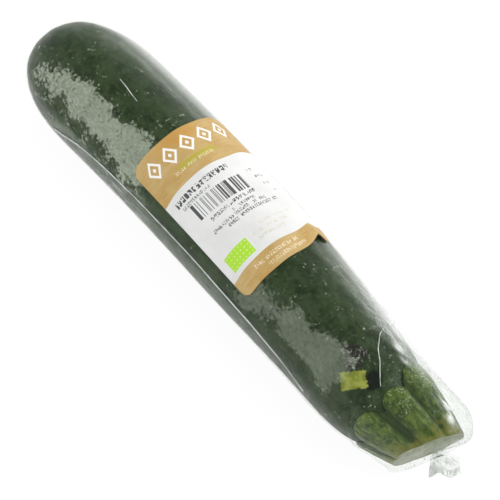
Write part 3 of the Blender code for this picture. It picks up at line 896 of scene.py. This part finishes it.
def film_finish():
    f = Finish("clear_film")
    place = f.place()
    long_place = f.stretched(place, 0.5, 1.0, 1.0)
    lumps = f.plus(f.noise(place, 6.5 * MM, 7.0, 0.68), -0.5)
    fine = f.plus(f.noise(place, 1.5 * MM, 3.0, 0.65, 3.0), -0.5)
    uneven = f.plus(f.times(lumps, 1.9), f.times(fine, 2.2))
    cloudy = f.clouded((place, 9.0 * MM, 3.0, 0.6, 23.0), 0.36, 0.62, 0.86, 1.06)
    depth = f.times(f.clouded((place, 1.6 * MM, 4.0, 0.7, 6.0), 0.36, 0.62, 0.72, 1.08), cloudy)
    wet = f.times(f.dots(place, 1.9 * MM, 0.14, 0.26), f.clouded((place, 5 * MM, 2.0, 0.5, 11.0), 0.44, 0.54))
    dry = f.sum("MULTIPLY_ADD", wet, -DROP_CLEARING, 1.0)
    # Fog under the film, its pale bands partly painted reflection of the light from the left
    fog = f.step(f.plus(f.values("fog"), uneven), 0.30, 0.80)
    thin = f.step(f.plus(f.values("thin_fog"), f.times(uneven, 0.8)), 0.25, 0.70)

    streaks = f.noise(f.stretched(place, 0.16, 1.0, 1.0), 1.7 * MM, 4.0, 0.65, 17.0)
    blotches = f.clouded((long_place, 3.0 * MM, 4.0, 0.65, 14.0), 0.42, 0.60, 0.25, 1.0)
    drawn = (f.stretched(place, 0.10, 1.0, 1.0), 1.3 * MM, 3.0, 0.6, 27.0)
    overlap = f.times(f.values("overlap"), blotches, f.clouded(drawn, 0.42, 0.62, 0.55, 1.5), OVERLAP_MILK)
    crinkle_sheen, gathered = f.values("side_veil"), f.values("gathered")
    # Painted reflection along the +Y side, laid on as milk
    side = f.times(crinkle_sheen, f.clouded((long_place, 1.8 * MM, 4.0, 0.7, 33.0), 0.38, 0.62, 0.03, 0.20))
    creased = f.times(f.step(gathered, 0.04, 0.36), f.step(streaks, 0.46, 0.64, 0.02, 0.30))
    crushed = f.clouded((place, 1.9 * MM, 3.0, 0.6, 21.0), 0.38, 0.60, 0.60, 0.92)
    tail = f.times(f.step(gathered, 0.5, 0.9), crushed)
    # Painted highlight: white glints on the film, laid on as milk
    glare = f.times(f.values("glare"), f.step(streaks, 0.40, 0.56, 0.15, 1.0))
    cool = f.most(overlap, creased, tail, f.times(glare, 0.8))
    # Milk over the film: fog and the side band partly painted reflection, the glare painted highlights, the
    # rest overlap, creases and tail
    haze = f.plus(
        f.times(fog, depth, dry, FOG_SHEEN_MILK), f.times(thin, depth, dry, THIN_FOG_SHEEN_MILK), side, cool, clamp=True)
    tone = f.coated(
        FOG_SHEEN_TONE,
        (f.step(cool, 0.02, 0.12), COOL_TONE),
        (f.step(crinkle_sheen, 0.3, 0.9), SIDE_SHEEN_TONE),
        # White for the tail and for the painted highlights
        (f.step(f.most(glare, tail), 0.1, 0.5), WHITE_TONE),
    )
    facing = f.node("LayerWeight", {"Blend": 0.5}).outputs["Facing"]
    sheen = f.sum("MULTIPLY_ADD", crinkle_sheen, CRINKLE_SHINE, EDGE_SHINE)
    shine = f.sum("MULTIPLY_ADD", f.sum("POWER", facing, SHINE_POWER), sheen, FACE_SHINE, clamp=True)
    normal = f.bump(f.noise(long_place, 6 * MM, 1.0, 0.5, 4.0), 0.30 * MM, 0.5)
    clear = f.node("BsdfTransparent", {"Color": FILM_TINT}).outputs[0]
    gloss = {"Color": (1.0, 1.0, 1.0, 1.0), "Roughness": 0.22, "Normal": normal}
    body = f.mixed(shine, clear, f.node("BsdfGlossy", gloss).outputs[0])
    milk = f.principled({"Base Color": tone, "Roughness": 0.5, "Specular IOR Level": 0.2})
    return f.surface(f.mixed(haze, body, milk))


def film_rings():
    """Rings of the film's outer side before it wrinkles, and the share past the shoulder of each."""
    angle = columns_of(FILM_COLUMNS)
    x = arc_spaced(FILM_ROWS, 0.0, FILM_LEAVES_FRUIT)[1:][:, None]
    stand = FILM_STAND + (FILM_CLEARANCE - FILM_STAND) * ramp(x, WRINKLES_FROM, FILM_LEAVES_FRUIT)
    lying = on_fruit(*np.broadcast_arrays(x, angle[None, :]), stand * np.ones(FILM_COLUMNS))
    controls = [on_fruit(FILM_LEAVES_FRUIT, angle, np.full(FILM_COLUMNS, FILM_CLEARANCE))]
    controls += [web_ring(*ring) for ring in WEB_RINGS]
    controls += [cut_ring(share) for share in (1.0, 0.5)]
    controls += [tail_ring(along) for along in (0.0, 0.5, 1.0)]
    for _ in range(FILM_SMOOTHINGS):
        controls = corner_cut(controls)
    beyond = np.array([as_array(clear_of_pieces(Vector(p)) for p in row) for row in controls[1:]])
    wound = np.concatenate([np.zeros(len(lying)), np.linspace(0.0, 1.0, len(beyond))])
    return np.concatenate([lying, beyond]), wound[:, None] * np.ones(FILM_COLUMNS)


def film_push(outer, angle, wound, tail):
    """How far wrinkles and folds lift the film, and how loose it is."""
    folds = 1.0 - 2.0 * np.abs(rough(outer * np.array((WRINKLE_STRETCH, 1.0, 1.0)), WRINKLE_SIZE, 2, 4.0))
    ripples = rough(outer, RIPPLE_SIZE, 2, 9.0)
    eased = ramp(outer[..., 0], WRINKLES_FROM, FILM_LEAVES_FRUIT)
    side = np.exp(-(turned(angle - LOOSE_SIDE) / LOOSE_SPREAD) ** 2)[None, :]
    round_stem = np.clip(wound / STEM_SHARE, 0.0, 1.0) * (1.0 - tail)
    loose = eased * (0.25 + 0.75 * side) * (0.35 + 0.65 * round_stem)
    push = WRINKLE_ON_FRUIT * (0.12 + 0.88 * eased * side) * (wound == 0.0) * ripples
    push = push + WRINKLE_ROUND_STEM * loose * np.maximum(0.1 + 0.6 * folds + 0.25 * ripples, 0.0)
    crumple = rough(outer * np.array((0.5, 1.0, 1.0)), TAIL_FOLD_SIZE, 2, 2.0)
    pleats = np.sin(np.radians(angle) * TAIL_PLEATS + 2.5 * crumple)
    return push + tail * (TAIL_CRUMPLE * crumple + TAIL_PLEAT_DEPTH * pleats), loose


def film_fields(outer, angle, wound, tail, loose):
    """Shares of fog with painted reflection, overlap, crinkle with painted sheen, looseness and painted glare
    highlights over the film.
    """
    at = outer[..., 0]
    around = turned(np.broadcast_to(angle[None, :], at.shape))
    unseen = 1.0 - np.exp(-(turned(around - SEEN_MIDDLE) / SEEN_HALF) ** 6)
    elsewhere = 0.04 + 0.40 * rough(outer * np.array((0.5, 1.0, 1.0)), FAR_FOG_SIZE, 3, 7.0)
    dry = 1.0 - patches(at, around, WET_PATCHES)
    # Fog band, on the seen side partly painted reflection of the light from the left
    fog = band(at, around, *BLOSSOM_FOG_SHEEN, FOG_EDGE) * (0.55 + 0.45 * ramp(at, 18 * MM, 36 * MM))
    seam_fog = 0.7 * band(at, around, *SEAM_FOG, SOFT_FOG_EDGE)
    thin = np.maximum(band(at, around, *STEM_FOG_SHEEN, SOFT_FOG_EDGE), seam_fog)
    past = turned(around - along_course(SEAM_COURSE, at))
    overlap = np.clip(past / 2.0, 0.0, 1.0) * np.clip((60.0 - past) / 10.0, 0.0, 1.0)
    overlap = overlap * (1.0 - 0.75 * ramp(at, 70 * MM, 110 * MM)) * (1.0 - ramp(at, 188 * MM, 205 * MM))
    # Crinkle and painted sheen of the +Y side
    crinkle_sheen = ramp(around, -16.0, -40.0) * ramp(around, -112.0, -74.0) * along_course(CRINKLES_AND_SHEEN, at)
    return {
        "fog": np.maximum(fog * dry, elsewhere * unseen),
        "thin_fog": np.maximum(thin * dry, 0.16 * unseen + 0.05),
        "overlap": overlap,
        "side_veil": crinkle_sheen * (1.0 - 0.85 * ramp(wound, 0.05, 0.25)),
        "gathered": 0.4 * loose + tail,
        "glare": patches(at, around, PAINTED_GLARES) * (tail < 0.05),
    }


def make_film():
    angle = columns_of(FILM_COLUMNS)
    outer, wound = film_rings()
    tail = np.clip((wound - TAIL_FROM) / (1.0 - TAIL_FROM), 0.0, 1.0)
    first = fruit_axis(0.0) - np.array((FILM_STAND, 0.0, 0.0))
    push, loose = film_push(outer, angle, wound, tail)
    outer = outer + ring_normals(outer, first) * push[..., None]
    inner = pressed_flat(outer - ring_normals(outer, first) * FILM_SKIN, FILM_SKIN)
    outer = pressed_flat(outer, 0.0)
    shell = np.concatenate([outer, inner[::-1]])
    points, faces = tube(shell, first, first + np.array((FILM_SKIN, 0.0, 0.0)))
    piece = add_piece("clear_film", points, faces, film_finish())
    for name, field in film_fields(outer, angle, wound, tail, loose).items():
        pole = float(field[0].mean())
        add_values(piece, name, np.concatenate([field, field[::-1]]), (pole, pole))
    dress(piece, "clear_film", "film_wrap")
    return piece


# Threads on the film: the seam's bead and the sharp creases

class Growth(Tree):
    """A tree of Geometry Nodes with one mesh in, one out and named sizes."""

    def __init__(self, name, *sizes):
        super().__init__(bpy.data.node_groups.new(name, "GeometryNodeTree"))
        socket = self.tree.interface.new_socket
        socket("Base", in_out="INPUT", socket_type="NodeSocketGeometry")
        made = [socket(size, in_out="INPUT", socket_type="NodeSocketFloat") for size in sizes]
        socket("Grown", in_out="OUTPUT", socket_type="NodeSocketGeometry")
        self.identifiers = [size.identifier for size in made]
        self.start = self.tree.nodes.new("NodeGroupInput").outputs

    def finished(self, geometry, material):
        """The tree, ended in a plain mesh of one material, and its sizes' identifiers."""
        real = self.node("GeometryNodeRealizeInstances", {"Geometry": geometry}).outputs[0]
        coat = self.node("GeometryNodeSetMaterial", {"Geometry": real, "Material": material})
        self.node("NodeGroupOutput", {"Grown": coat.outputs[0]})
        return self.tree, *self.identifiers


def thread_tree(material):
    """Turns a line into a round bead, thinner where its swell is less."""
    g = Growth("bead_along_line", "Bead radius")
    line = g.node("GeometryNodeMeshToCurve", {"Mesh": g.start["Base"]}).outputs["Curve"]
    ring = g.node("GeometryNodeCurvePrimitiveCircle", {"Resolution": 6, "Radius": g.start["Bead radius"]})
    swell = g.node("GeometryNodeInputNamedAttribute", {"Name": "swell"}, data_type="FLOAT")
    sized = g.node("GeometryNodeSetCurveRadius", {"Curve": line, "Radius": swell.outputs["Attribute"]})
    bead = g.node("GeometryNodeCurveToMesh", {
        "Curve": sized.outputs["Curve"], "Profile Curve": ring.outputs["Curve"], "Fill Caps": True})
    return g.finished(bead.outputs["Mesh"], material)


def grown(piece, tree, settings):
    """The piece with the plain mesh that a Geometry Nodes tree makes of its own."""
    modifier = piece.modifiers.new(tree.name, "NODES")
    modifier.node_group = tree
    for identifier, value in settings.items():
        modifier[identifier] = value
    plain = bpy.data.meshes.new_from_object(piece.evaluated_get(bpy.context.evaluated_depsgraph_get()))
    plain.name = piece.name
    piece.modifiers.clear()
    old = piece.data
    piece.data = plain
    bpy.data.meshes.remove(old)
    plain.shade_smooth()
    return piece


def smooth_course(points, count):
    """Points at equal steps on a smooth curve through rows of (place, angle)."""
    points = np.array(points, dtype=float)
    steps = np.hypot(np.diff(points[:, 0]), np.diff(points[:, 1]) * 0.4)
    run = np.concatenate([[0.0], np.cumsum(steps)])
    want = np.linspace(0.0, run[-1], count)
    line = np.stack([np.interp(want, run, points[:, k]) for k in (0, 1)], axis=1)
    for _ in range(count // 14):
        line[1:-1] = 0.25 * line[:-2] + 0.5 * line[1:-1] + 0.25 * line[2:]
    return line


def thread_finish():
    f = Finish("film_weld")
    place = f.place()
    uneven = f.clouded((place, 1.6 * MM, 3.0, 0.6), 0.35, 0.65)
    tone = f.blend(uneven, (0.62, 0.68, 0.64), (0.86, 0.90, 0.88))
    milk = f.principled({"Base Color": tone, "Roughness": 0.22, "Specular IOR Level": 0.6})
    clear = f.node("BsdfTransparent").outputs[0]
    share = f.clouded((f.stretched(place, 0.3, 1.0, 1.0), 3 * MM, 3.0, 0.6, 5.0), 0.36, 0.58, 0.35, 0.95)
    return f.surface(f.mixed(share, clear, milk))


CREASE_1 = ((188.9, -35.9), (190.6, -25.1), (195.8, -11.4), (200.0, -5.3), (207.2, 10.3))
CREASE_2 = ((188.9, -36.5), (191.5, -38.5), (195.0, -37.5), (199.2, -33.7))
SCRATCH = ((45.5, 2.3), (49.0, 3.0), (53.0, 4.6), (57.5, 5.8))
# Threads: name, course of mm from the tip and angle, points along it and radius
THREADS = (
    ("film_seam", SEAM_COURSE, 160, 0.26 * MM),
    ("film_crease_1", CREASE_1, 40, 0.15 * MM),
    ("film_crease_2", CREASE_2, 40, 0.15 * MM),
    ("film_scratch", SCRATCH, 24, 0.14 * MM),
)
THREAD_SINK = 0.3               # height of a thread's middle over the film, as a share of its radius
THREAD_ENDS = 12.0              # each end thins out over one part in twelve
THREAD_TIP = 0.12


def make_threads():
    finish = thread_finish()
    tree, radius = thread_tree(finish)
    for name, course, count, size in THREADS:
        line = smooth_course(course, count)
        stand = np.full(count, FILM_STAND + THREAD_SINK * size)
        points = on_fruit(line[:, 0] * MM, line[:, 1], stand)
        piece = add_piece(name, points, [], finish)
        piece.data.edges.add(count - 1)
        ends = np.stack([np.arange(count - 1), np.arange(1, count)], 1)
        piece.data.edges.foreach_set("vertices", ends.ravel())
        share = np.linspace(0.0, 1.0, count)
        swell = np.clip(np.minimum(share, 1.0 - share) * THREAD_ENDS, THREAD_TIP, 1.0)
        places = [Vector((i * 0.35, size * 1000.0, 0.0)) for i in range(count)]
        wave = np.array([0.8 + 0.9 * noise.noise(place) for place in places])
        add_values(piece, "swell", swell * wave)
        dress(grown(piece, tree, {radius: size}), "clear_film")


# Beads of water between skin and film

BEAD_SEED = 7
BEAD_FLATNESS = 0.45
BEADS_PER_SQUARE_METRE = 26000.0
BEAD_SMALLEST = 0.10 * MM
BEAD_LARGEST = 0.34 * MM


def bead_tree(material):
    """Scatters small flat beads over a surface."""
    g = Growth("water_beads", "Beads per square metre", "Smallest radius", "Largest radius")
    scatter = g.node("GeometryNodeDistributePointsOnFaces", {
        "Mesh": g.start["Base"], "Density": g.start["Beads per square metre"], "Seed": BEAD_SEED}).outputs
    ball = g.node("GeometryNodeMeshIcoSphere", {"Radius": 1.0, "Subdivisions": 2}).outputs["Mesh"]
    flat = g.node("GeometryNodeTransform", {"Geometry": ball, "Scale": (1.0, 1.0, BEAD_FLATNESS)})
    bounds = {2: g.start["Smallest radius"], 3: g.start["Largest radius"], "Seed": BEAD_SEED + 1}
    size = g.node("FunctionNodeRandomValue", bounds, data_type="FLOAT").outputs[1]
    place = g.node("GeometryNodeInstanceOnPoints", {
        "Points": scatter["Points"], "Instance": flat.outputs[0],
        "Rotation": scatter["Rotation"], "Scale": size})
    return g.finished(place.outputs["Instances"], material)


def water_finish():
    f = Finish("water_bead")
    glint = f.clouded((f.place(), 2.0 * MM, 2.0), 0.35, 0.65)
    tone = f.blend(glint, (0.10, 0.15, 0.08), (0.30, 0.38, 0.26))
    return f.surface(f.principled({"Base Color": tone, "Roughness": 0.12, "Specular IOR Level": 0.5}))


def make_beads(skin):
    data = skin.data.copy()
    piece = bpy.data.objects.new("water_beads", data)
    bpy.context.scene.collection.objects.link(piece)
    tree, density, small, large = bead_tree(water_finish())
    sizes = {density: BEADS_PER_SQUARE_METRE, small: BEAD_SMALLEST, large: BEAD_LARGEST}
    dress(grown(piece, tree, sizes), "zucchini_skin")


# Label

def label_half_width(x):
    from_end = np.minimum(x - LABEL_START, LABEL_START + LABEL_LENGTH - x)
    inside = np.clip(LABEL_CORNER - from_end, 0.0, LABEL_CORNER)
    inset = LABEL_CORNER - np.sqrt(LABEL_CORNER ** 2 - inside ** 2)
    return LABEL_HALF_ANGLE - np.degrees(inset / FULLEST_RADIUS)


def label_fold(x, angle):
    """Height of the small sharp fold at the label's lower edge, as a share."""
    from_edge = (LABEL_START + LABEL_LENGTH - x) / BUCKLE_LENGTH
    away = np.abs(angle - BUCKLE_ANGLE) / BUCKLE_WIDTH
    return np.exp(-from_edge ** 2 - away ** 1.35)


# The label's print in mm: u from its edge at the blossom's side, v from its middle line.
# A block has its lowest and highest u, then its lowest and highest v.
WHITE_FROM, WHITE_TO = 20.2, 61.8
WARM_KRAFT = (-1.0, 6.0, -8.0, 12.0, 4.0)
OLIVE_KRAFT = (12.8, 15.6, -7.5, 9.2, 1.0)
LOZENGES = 5
LOZENGE_PITCH = 8.2
LOZENGE_MIDDLE = 7.2
LOZENGE_HALF_WIDTH = 3.4
LOZENGE_HALF_HEIGHT = 4.4
BAR_WIDTH = 0.27
BARS_U, BARS_V, BARS_SLANT = (29.2, 36.6), (-6.9, 16.2), 0.055
LIME_BLOCK = (52.9, 59.8, 8.4, 20.4)
LIME_MARGIN = 0.6
LIME_PITCH = 1.73
# Rows of made-up marks: middle u, height, lowest and highest v, width of a mark, seed and share inked
PALE_ROWS = (
    (15.2, 1.5, -6.0, 12.0, 1.0, 3.0, 0.5),
    (64.6, 1.7, -8.0, 13.0, 1.1, 4.0, 0.5),
    (67.4, 1.7, -10.0, 8.0, 1.1, 5.0, 0.5),
)
DARK_ROWS = (
    (24.2, 2.5, -5.5, 20.0, 1.9, 11.0, 0.62),
    (27.2, 1.5, 5.0, 18.5, 1.05, 12.0, 0.45),
    (38.6, 1.7, -8.0, 15.0, 1.5, 13.0, 0.5),
    (41.2, 1.3, -5.5, 5.0, 1.0, 14.0, 0.5),
    (43.1, 1.5, -9.0, 16.0, 1.0, 15.0, 0.5),
    (45.2, 1.5, -13.0, 10.0, 1.0, 16.0, 0.58),
    (29.5, 1.3, -13.6, -10.8, 1.0, 17.0, 0.35),
    (33.2, 1.4, -16.0, -12.0, 1.0, 18.0, 0.45),
    (37.2, 1.3, -17.0, -13.2, 1.0, 19.0, 0.35),
    (41.2, 0.7, -19.0, -14.5, 0.8, 20.0, 0.30),
)
GOLD_ROWS = (
    (51.8, 1.3, -14.0, 1.0, 0.95, 31.0, 0.4),
    (54.4, 1.3, -11.5, 5.5, 0.95, 32.0, 0.4),
    (57.0, 1.3, -8.0, 7.0, 0.95, 33.0, 0.45),
)


class Print(Finish):
    """The label's finish, drawn in mm on the sheet itself."""

    def __init__(self, name):
        super().__init__(name)
        axes = self.node("SeparateXYZ", {0: self.node("UVMap", uv_map="label_mm").outputs["UV"]})
        self.u, self.v = axes.outputs["X"], axes.outputs["Y"]

    def at(self, a, b, c):
        return self.node("CombineXYZ", {0: a, 1: b, 2: c}).outputs[0]

    def inside(self, value, low, high, soft=0.12):
        rise = self.step(value, low - soft, low + soft)
        return self.times(rise, self.step(value, high - soft, high + soft, 1.0, 0.0))

    def block(self, low_u, high_u, low_v, high_v, soft=0.12):
        return self.times(self.inside(self.u, low_u, high_u, soft), self.inside(self.v, low_v, high_v, soft))

    def cell(self, value, size):
        return self.sum("FLOOR", self.times(value, 1.0 / size))

    def share_of(self, value, size):
        """How far a value lies into its cell, from 0 to 1."""
        return self.sum("FRACT", self.times(value, 1.0 / size))

    def chance(self, a, b, seed):
        inputs = {"Vector": self.at(a, b, seed)}
        return self.node("TexWhiteNoise", inputs, noise_dimensions="3D").outputs["Value"]

    def row(self, middle_u, height, low_v, high_v, width, seed, inked):
        """A row of small made-up marks, with gaps as between words."""
        word = self.step(self.chance(self.cell(self.v, width), 0.0, seed), 0.14, 0.15)
        gap = self.step(self.share_of(self.v, width), 0.74, 0.80, 1.0, 0.0)
        quarters = self.cell(self.v, width / 4.0), self.cell(self.u, height / 4.0)
        stroke = self.step(self.chance(*quarters, seed + 0.5), 1.0 - inked, 1.02 - inked)
        row = self.block(middle_u - 0.5 * height, middle_u + 0.5 * height, low_v, high_v, 0.05)
        return self.times(row, word, gap, stroke)

    def rows(self, table):
        return self.most(*[self.row(*row) for row in table])

    def lozenges(self):
        """Generic ornament, a chain of lozenges with a dot in each."""
        half = 0.5 * LOZENGES * LOZENGE_PITCH
        shifted = self.plus(self.v, 0.5 * LOZENGE_PITCH)
        across = self.sum("ABSOLUTE", self.sum("SUBTRACT", self.share_of(shifted, LOZENGE_PITCH), 0.5))
        upright = self.sum("ABSOLUTE", self.plus(self.u, -LOZENGE_MIDDLE))
        across = self.times(across, LOZENGE_PITCH / LOZENGE_HALF_WIDTH)
        reach = self.plus(across, self.times(upright, 1.0 / LOZENGE_HALF_HEIGHT))
        ring = self.inside(reach, 0.66, 1.0, 0.03)
        dot = self.step(reach, 0.20, 0.26, 1.0, 0.0)
        return self.times(self.most(ring, dot), self.inside(self.v, -half, half))

    def bars(self):
        """Upright bars of chance widths, which hold nothing."""
        tilted = self.plus(self.u, self.times(self.v, BARS_SLANT))
        here = self.times(self.inside(tilted, *BARS_U, 0.08), self.inside(self.v, *BARS_V, 0.08))
        return self.times(self.step(self.chance(self.cell(self.v, BAR_WIDTH), 0.0, 21.0), 0.48, 0.50), here)

    def squares(self):
        """Small grid of squares inside the lime block."""
        low_u, high_u, low_v, high_v = LIME_BLOCK
        grid = [self.inside(self.share_of(self.plus(value, -low), LIME_PITCH), 0.36, 0.64, 0.06)
                for value, low in ((self.u, low_u), (self.v, low_v))]
        inner = self.block(
            low_u + LIME_MARGIN, high_u - LIME_MARGIN, low_v + LIME_MARGIN, high_v - LIME_MARGIN, 0.05)
        return self.times(*grid, inner)


def label_finish():
    f = Print("label_paper")
    strands = f.noise(f.at(f.u, f.times(f.v, 0.07), 1.0), 0.55, 3.0, 0.6)
    clouds = f.noise(f.at(f.u, f.v, 3.0), 9.0, 3.0, 0.55)
    wave = f.noise(f.at(f.v, 0.0, 5.0), 16.0, 1.0)
    kraft = f.coated(
        f.blend(f.step(clouds, 0.34, 0.66), (0.52, 0.36, 0.140), (0.47, 0.285, 0.075)),
        (f.step(strands, 0.48, 0.66, 0.0, 0.45), (0.60, 0.45, 0.22)),
        (f.times(f.block(*WARM_KRAFT), 0.7), (0.52, 0.27, 0.050)),
        (f.times(f.block(*OLIVE_KRAFT), 0.75), (0.42, 0.38, 0.018)),
    )
    white = f.blend(f.step(clouds, 0.3, 0.7), (0.69, 0.69, 0.67), (0.75, 0.75, 0.735))
    colour = f.coated(
        kraft,
        (f.inside(f.frayed(f.u, wave, 1.6), WHITE_FROM, WHITE_TO, 0.10), white),
        (f.times(f.lozenges(), 0.95), (0.90, 0.89, 0.85)),
        (f.times(f.rows(PALE_ROWS), 0.55), (0.93, 0.85, 0.66)),
        (f.times(f.most(f.bars(), f.rows(DARK_ROWS)), 0.92), (0.022, 0.022, 0.024)),
        (f.times(f.rows(GOLD_ROWS), 0.6), (0.52, 0.42, 0.20)),
        (f.block(*LIME_BLOCK, 0.10), (0.40, 0.70, 0.030)),
        (f.times(f.squares(), 0.75), (0.78, 0.88, 0.55)),
    )
    fibre = f.noise(f.at(f.u, f.v, 8.0), 0.5, 3.0, 0.6)
    return f.surface(f.principled({
        "Base Color": colour,
        "Roughness": f.step(fibre, 0.3, 0.7, 0.42, 0.58),
        "Specular IOR Level": 0.35,
        "Normal": f.bump(fibre, 0.05 * MM, 0.6),
    }))


LABEL_PULL = 3.2 * MM           # the fold draws the label's edge in
LABEL_WAVE, LABEL_WAVE_LENGTH = 0.06 * MM, 6.0 * MM


def make_label():
    x = np.linspace(LABEL_START, LABEL_START + LABEL_LENGTH, LABEL_ROWS + 1)[:, None]
    share = np.linspace(-1.0, 1.0, LABEL_COLUMNS + 1)[None, :]
    x, angle = np.broadcast_arrays(x, label_half_width(x) * share)
    fold = label_fold(x, angle)
    wave = LABEL_WAVE * np.sin(x / LABEL_WAVE_LENGTH) * np.cos(np.radians(angle) * 3.0)
    stands = [height + BUCKLE_LIFT * fold + wave for height in (LABEL_LOW, LABEL_HIGH)]
    sides = [on_fruit(x - LABEL_PULL * fold, angle, stand) for stand in stands]
    points = np.concatenate([side.reshape(-1, 3) for side in sides])
    index = np.arange(x.size).reshape(x.shape)
    quads = np.stack([index[:-1, :-1], index[:-1, 1:], index[1:, 1:], index[1:, :-1]], axis=-1)
    quads = quads.reshape(-1, 4)
    border = np.concatenate([index[:-1, 0], index[-1, :-1], index[:0:-1, -1], index[0, :0:-1]])
    after = np.roll(border, -1)
    walls = np.stack([border, after, after + x.size, border + x.size], axis=-1)
    faces = quads[:, ::-1].tolist() + (quads + x.size).tolist() + walls.tolist()
    piece = add_piece("paper_label", points, faces, label_finish())
    mesh = bmesh.new()
    mesh.from_mesh(piece.data)
    bmesh.ops.recalc_face_normals(mesh, faces=mesh.faces)
    mesh.to_mesh(piece.data)
    mesh.free()
    u = (x - LABEL_START) / MM
    v = np.radians(angle) * (FULLEST_RADIUS + LABEL_HIGH) / MM
    both = np.concatenate([np.stack([u.ravel(), v.ravel()], 1)] * 2).astype(np.float32)
    corners = np.empty(len(piece.data.loops), dtype=np.int32)
    piece.data.loops.foreach_get("vertex_index", corners)
    piece.data.uv_layers.new(name="label_mm").data.foreach_set("uv", both[corners].ravel())
    dress(piece, "label_paper", "label")


# Floor, light and camera

FLOOR_REACH = 3.0
FLOOR_DROP = 0.0001
# Soft panels: name, place, width and height in metres, and watts
PANELS = (
    ("window_right", (1.0, 1.4, 0.8), (2.2, 1.4), 26.0),
    ("window_left", (-1.0, -1.3, 1.3), (2.0, 1.4), 13.0),
    ("top", (-0.3, 0.5, 2.2), (2.4, 2.4), 24.0),
)
# The same, seen only in gloss
GLINTS = (
    ("glint_right", (1.0, 1.4, 0.9), (1.1, 0.8), 15.0),
    ("glint_back", (-0.8, 1.6, 0.45), (1.4, 0.5), 6.0),
)
LIT_POINT = Vector((0.0, 0.0, 0.02))


def make_floor():
    f = Finish("pale_floor")
    material = f.surface(f.principled({
        "Base Color": f.blend(f.noise(f.place(), 0.4, 2.0), (0.09, 0.09, 0.09), (0.10, 0.10, 0.10)),
        "Roughness": 0.9,
        "Specular IOR Level": 0.0,
        "Emission Color": (1.0, 1.0, 1.0, 1.0),
        "Emission Strength": 0.93,
    }))
    sides = ((-1, -1), (1, -1), (1, 1), (-1, 1))
    corners = np.array([(a * FLOOR_REACH, b * FLOOR_REACH, -FLOOR_DROP) for a, b in sides])
    add_piece("floor", corners - ORIGIN, [(0, 1, 2, 3)], material)


def add_panel(name, place, size, power, glints):
    """Soft rectangular light that faces the fruit. One for glints shows in gloss alone, the others never."""
    light = bpy.data.lights.new(name, "AREA")
    light.shape = "RECTANGLE"
    light.size, light.size_y = size
    light.energy = power
    panel = bpy.data.objects.new(name, light)
    bpy.context.scene.collection.objects.link(panel)
    panel.location = place
    panel.rotation_euler = (LIT_POINT - Vector(place)).to_track_quat("-Z", "Y").to_euler()
    panel.visible_glossy = glints
    panel.visible_diffuse = not glints


def make_light():
    """Sky, brightest at the horizon, and the panels."""
    world = bpy.data.worlds.new("studio")
    bpy.context.scene.world = world
    world.use_nodes = True
    sky = Tree(world.node_tree, "ShaderNode")
    upward = sky.node("SeparateXYZ", {0: sky.node("TexCoord").outputs["Generated"]}).outputs["Z"]
    fade = {"Value": upward, "From Min": 0.0, "From Max": 0.9, "To Min": 1.0, "To Max": 0.30}
    back = sky.tree.nodes["Background"].inputs
    sky.join(back["Strength"], sky.node("MapRange", fade).outputs["Result"])
    sky.join(back["Color"], (0.97, 0.985, 1.0, 1.0))
    for glints, panels in ((False, PANELS), (True, GLINTS)):
        for panel in panels:
            add_panel(*panel, glints)
    view = bpy.context.scene.view_settings
    view.view_transform = "Standard"
    view.look = "None"


def make_camera():
    a, e = math.radians(CAMERA_AZIMUTH), math.radians(CAMERA_ELEVATION)
    back = Vector((math.sin(a) * math.cos(e), -math.cos(a) * math.cos(e), math.sin(e)))
    right = Vector((math.cos(a), math.sin(a), 0.0))
    up = Vector((-math.sin(a) * math.sin(e), math.cos(a) * math.sin(e), math.cos(e)))
    eye = TARGET + back * CAMERA_DISTANCE
    eye += right * (TARGET_SHIFT[0] * PIXEL) + up * (TARGET_SHIFT[1] * PIXEL)
    lens = bpy.data.cameras.new("camera")
    lens.sensor_width = SENSOR
    lens.lens = SENSOR * CAMERA_DISTANCE / (FRAME_PIXELS * PIXEL)
    camera = bpy.data.objects.new("camera", lens)
    bpy.context.scene.collection.objects.link(camera)
    camera.matrix_world = Matrix([(right[k], up[k], back[k], eye[k]) for k in range(3)] + [(0, 0, 0, 1)])
    bpy.context.scene.camera = camera


make_camera()
skin = make_skin()
make_stem()
make_film()
make_threads()
make_beads(skin)
make_label()
make_floor()
make_light()
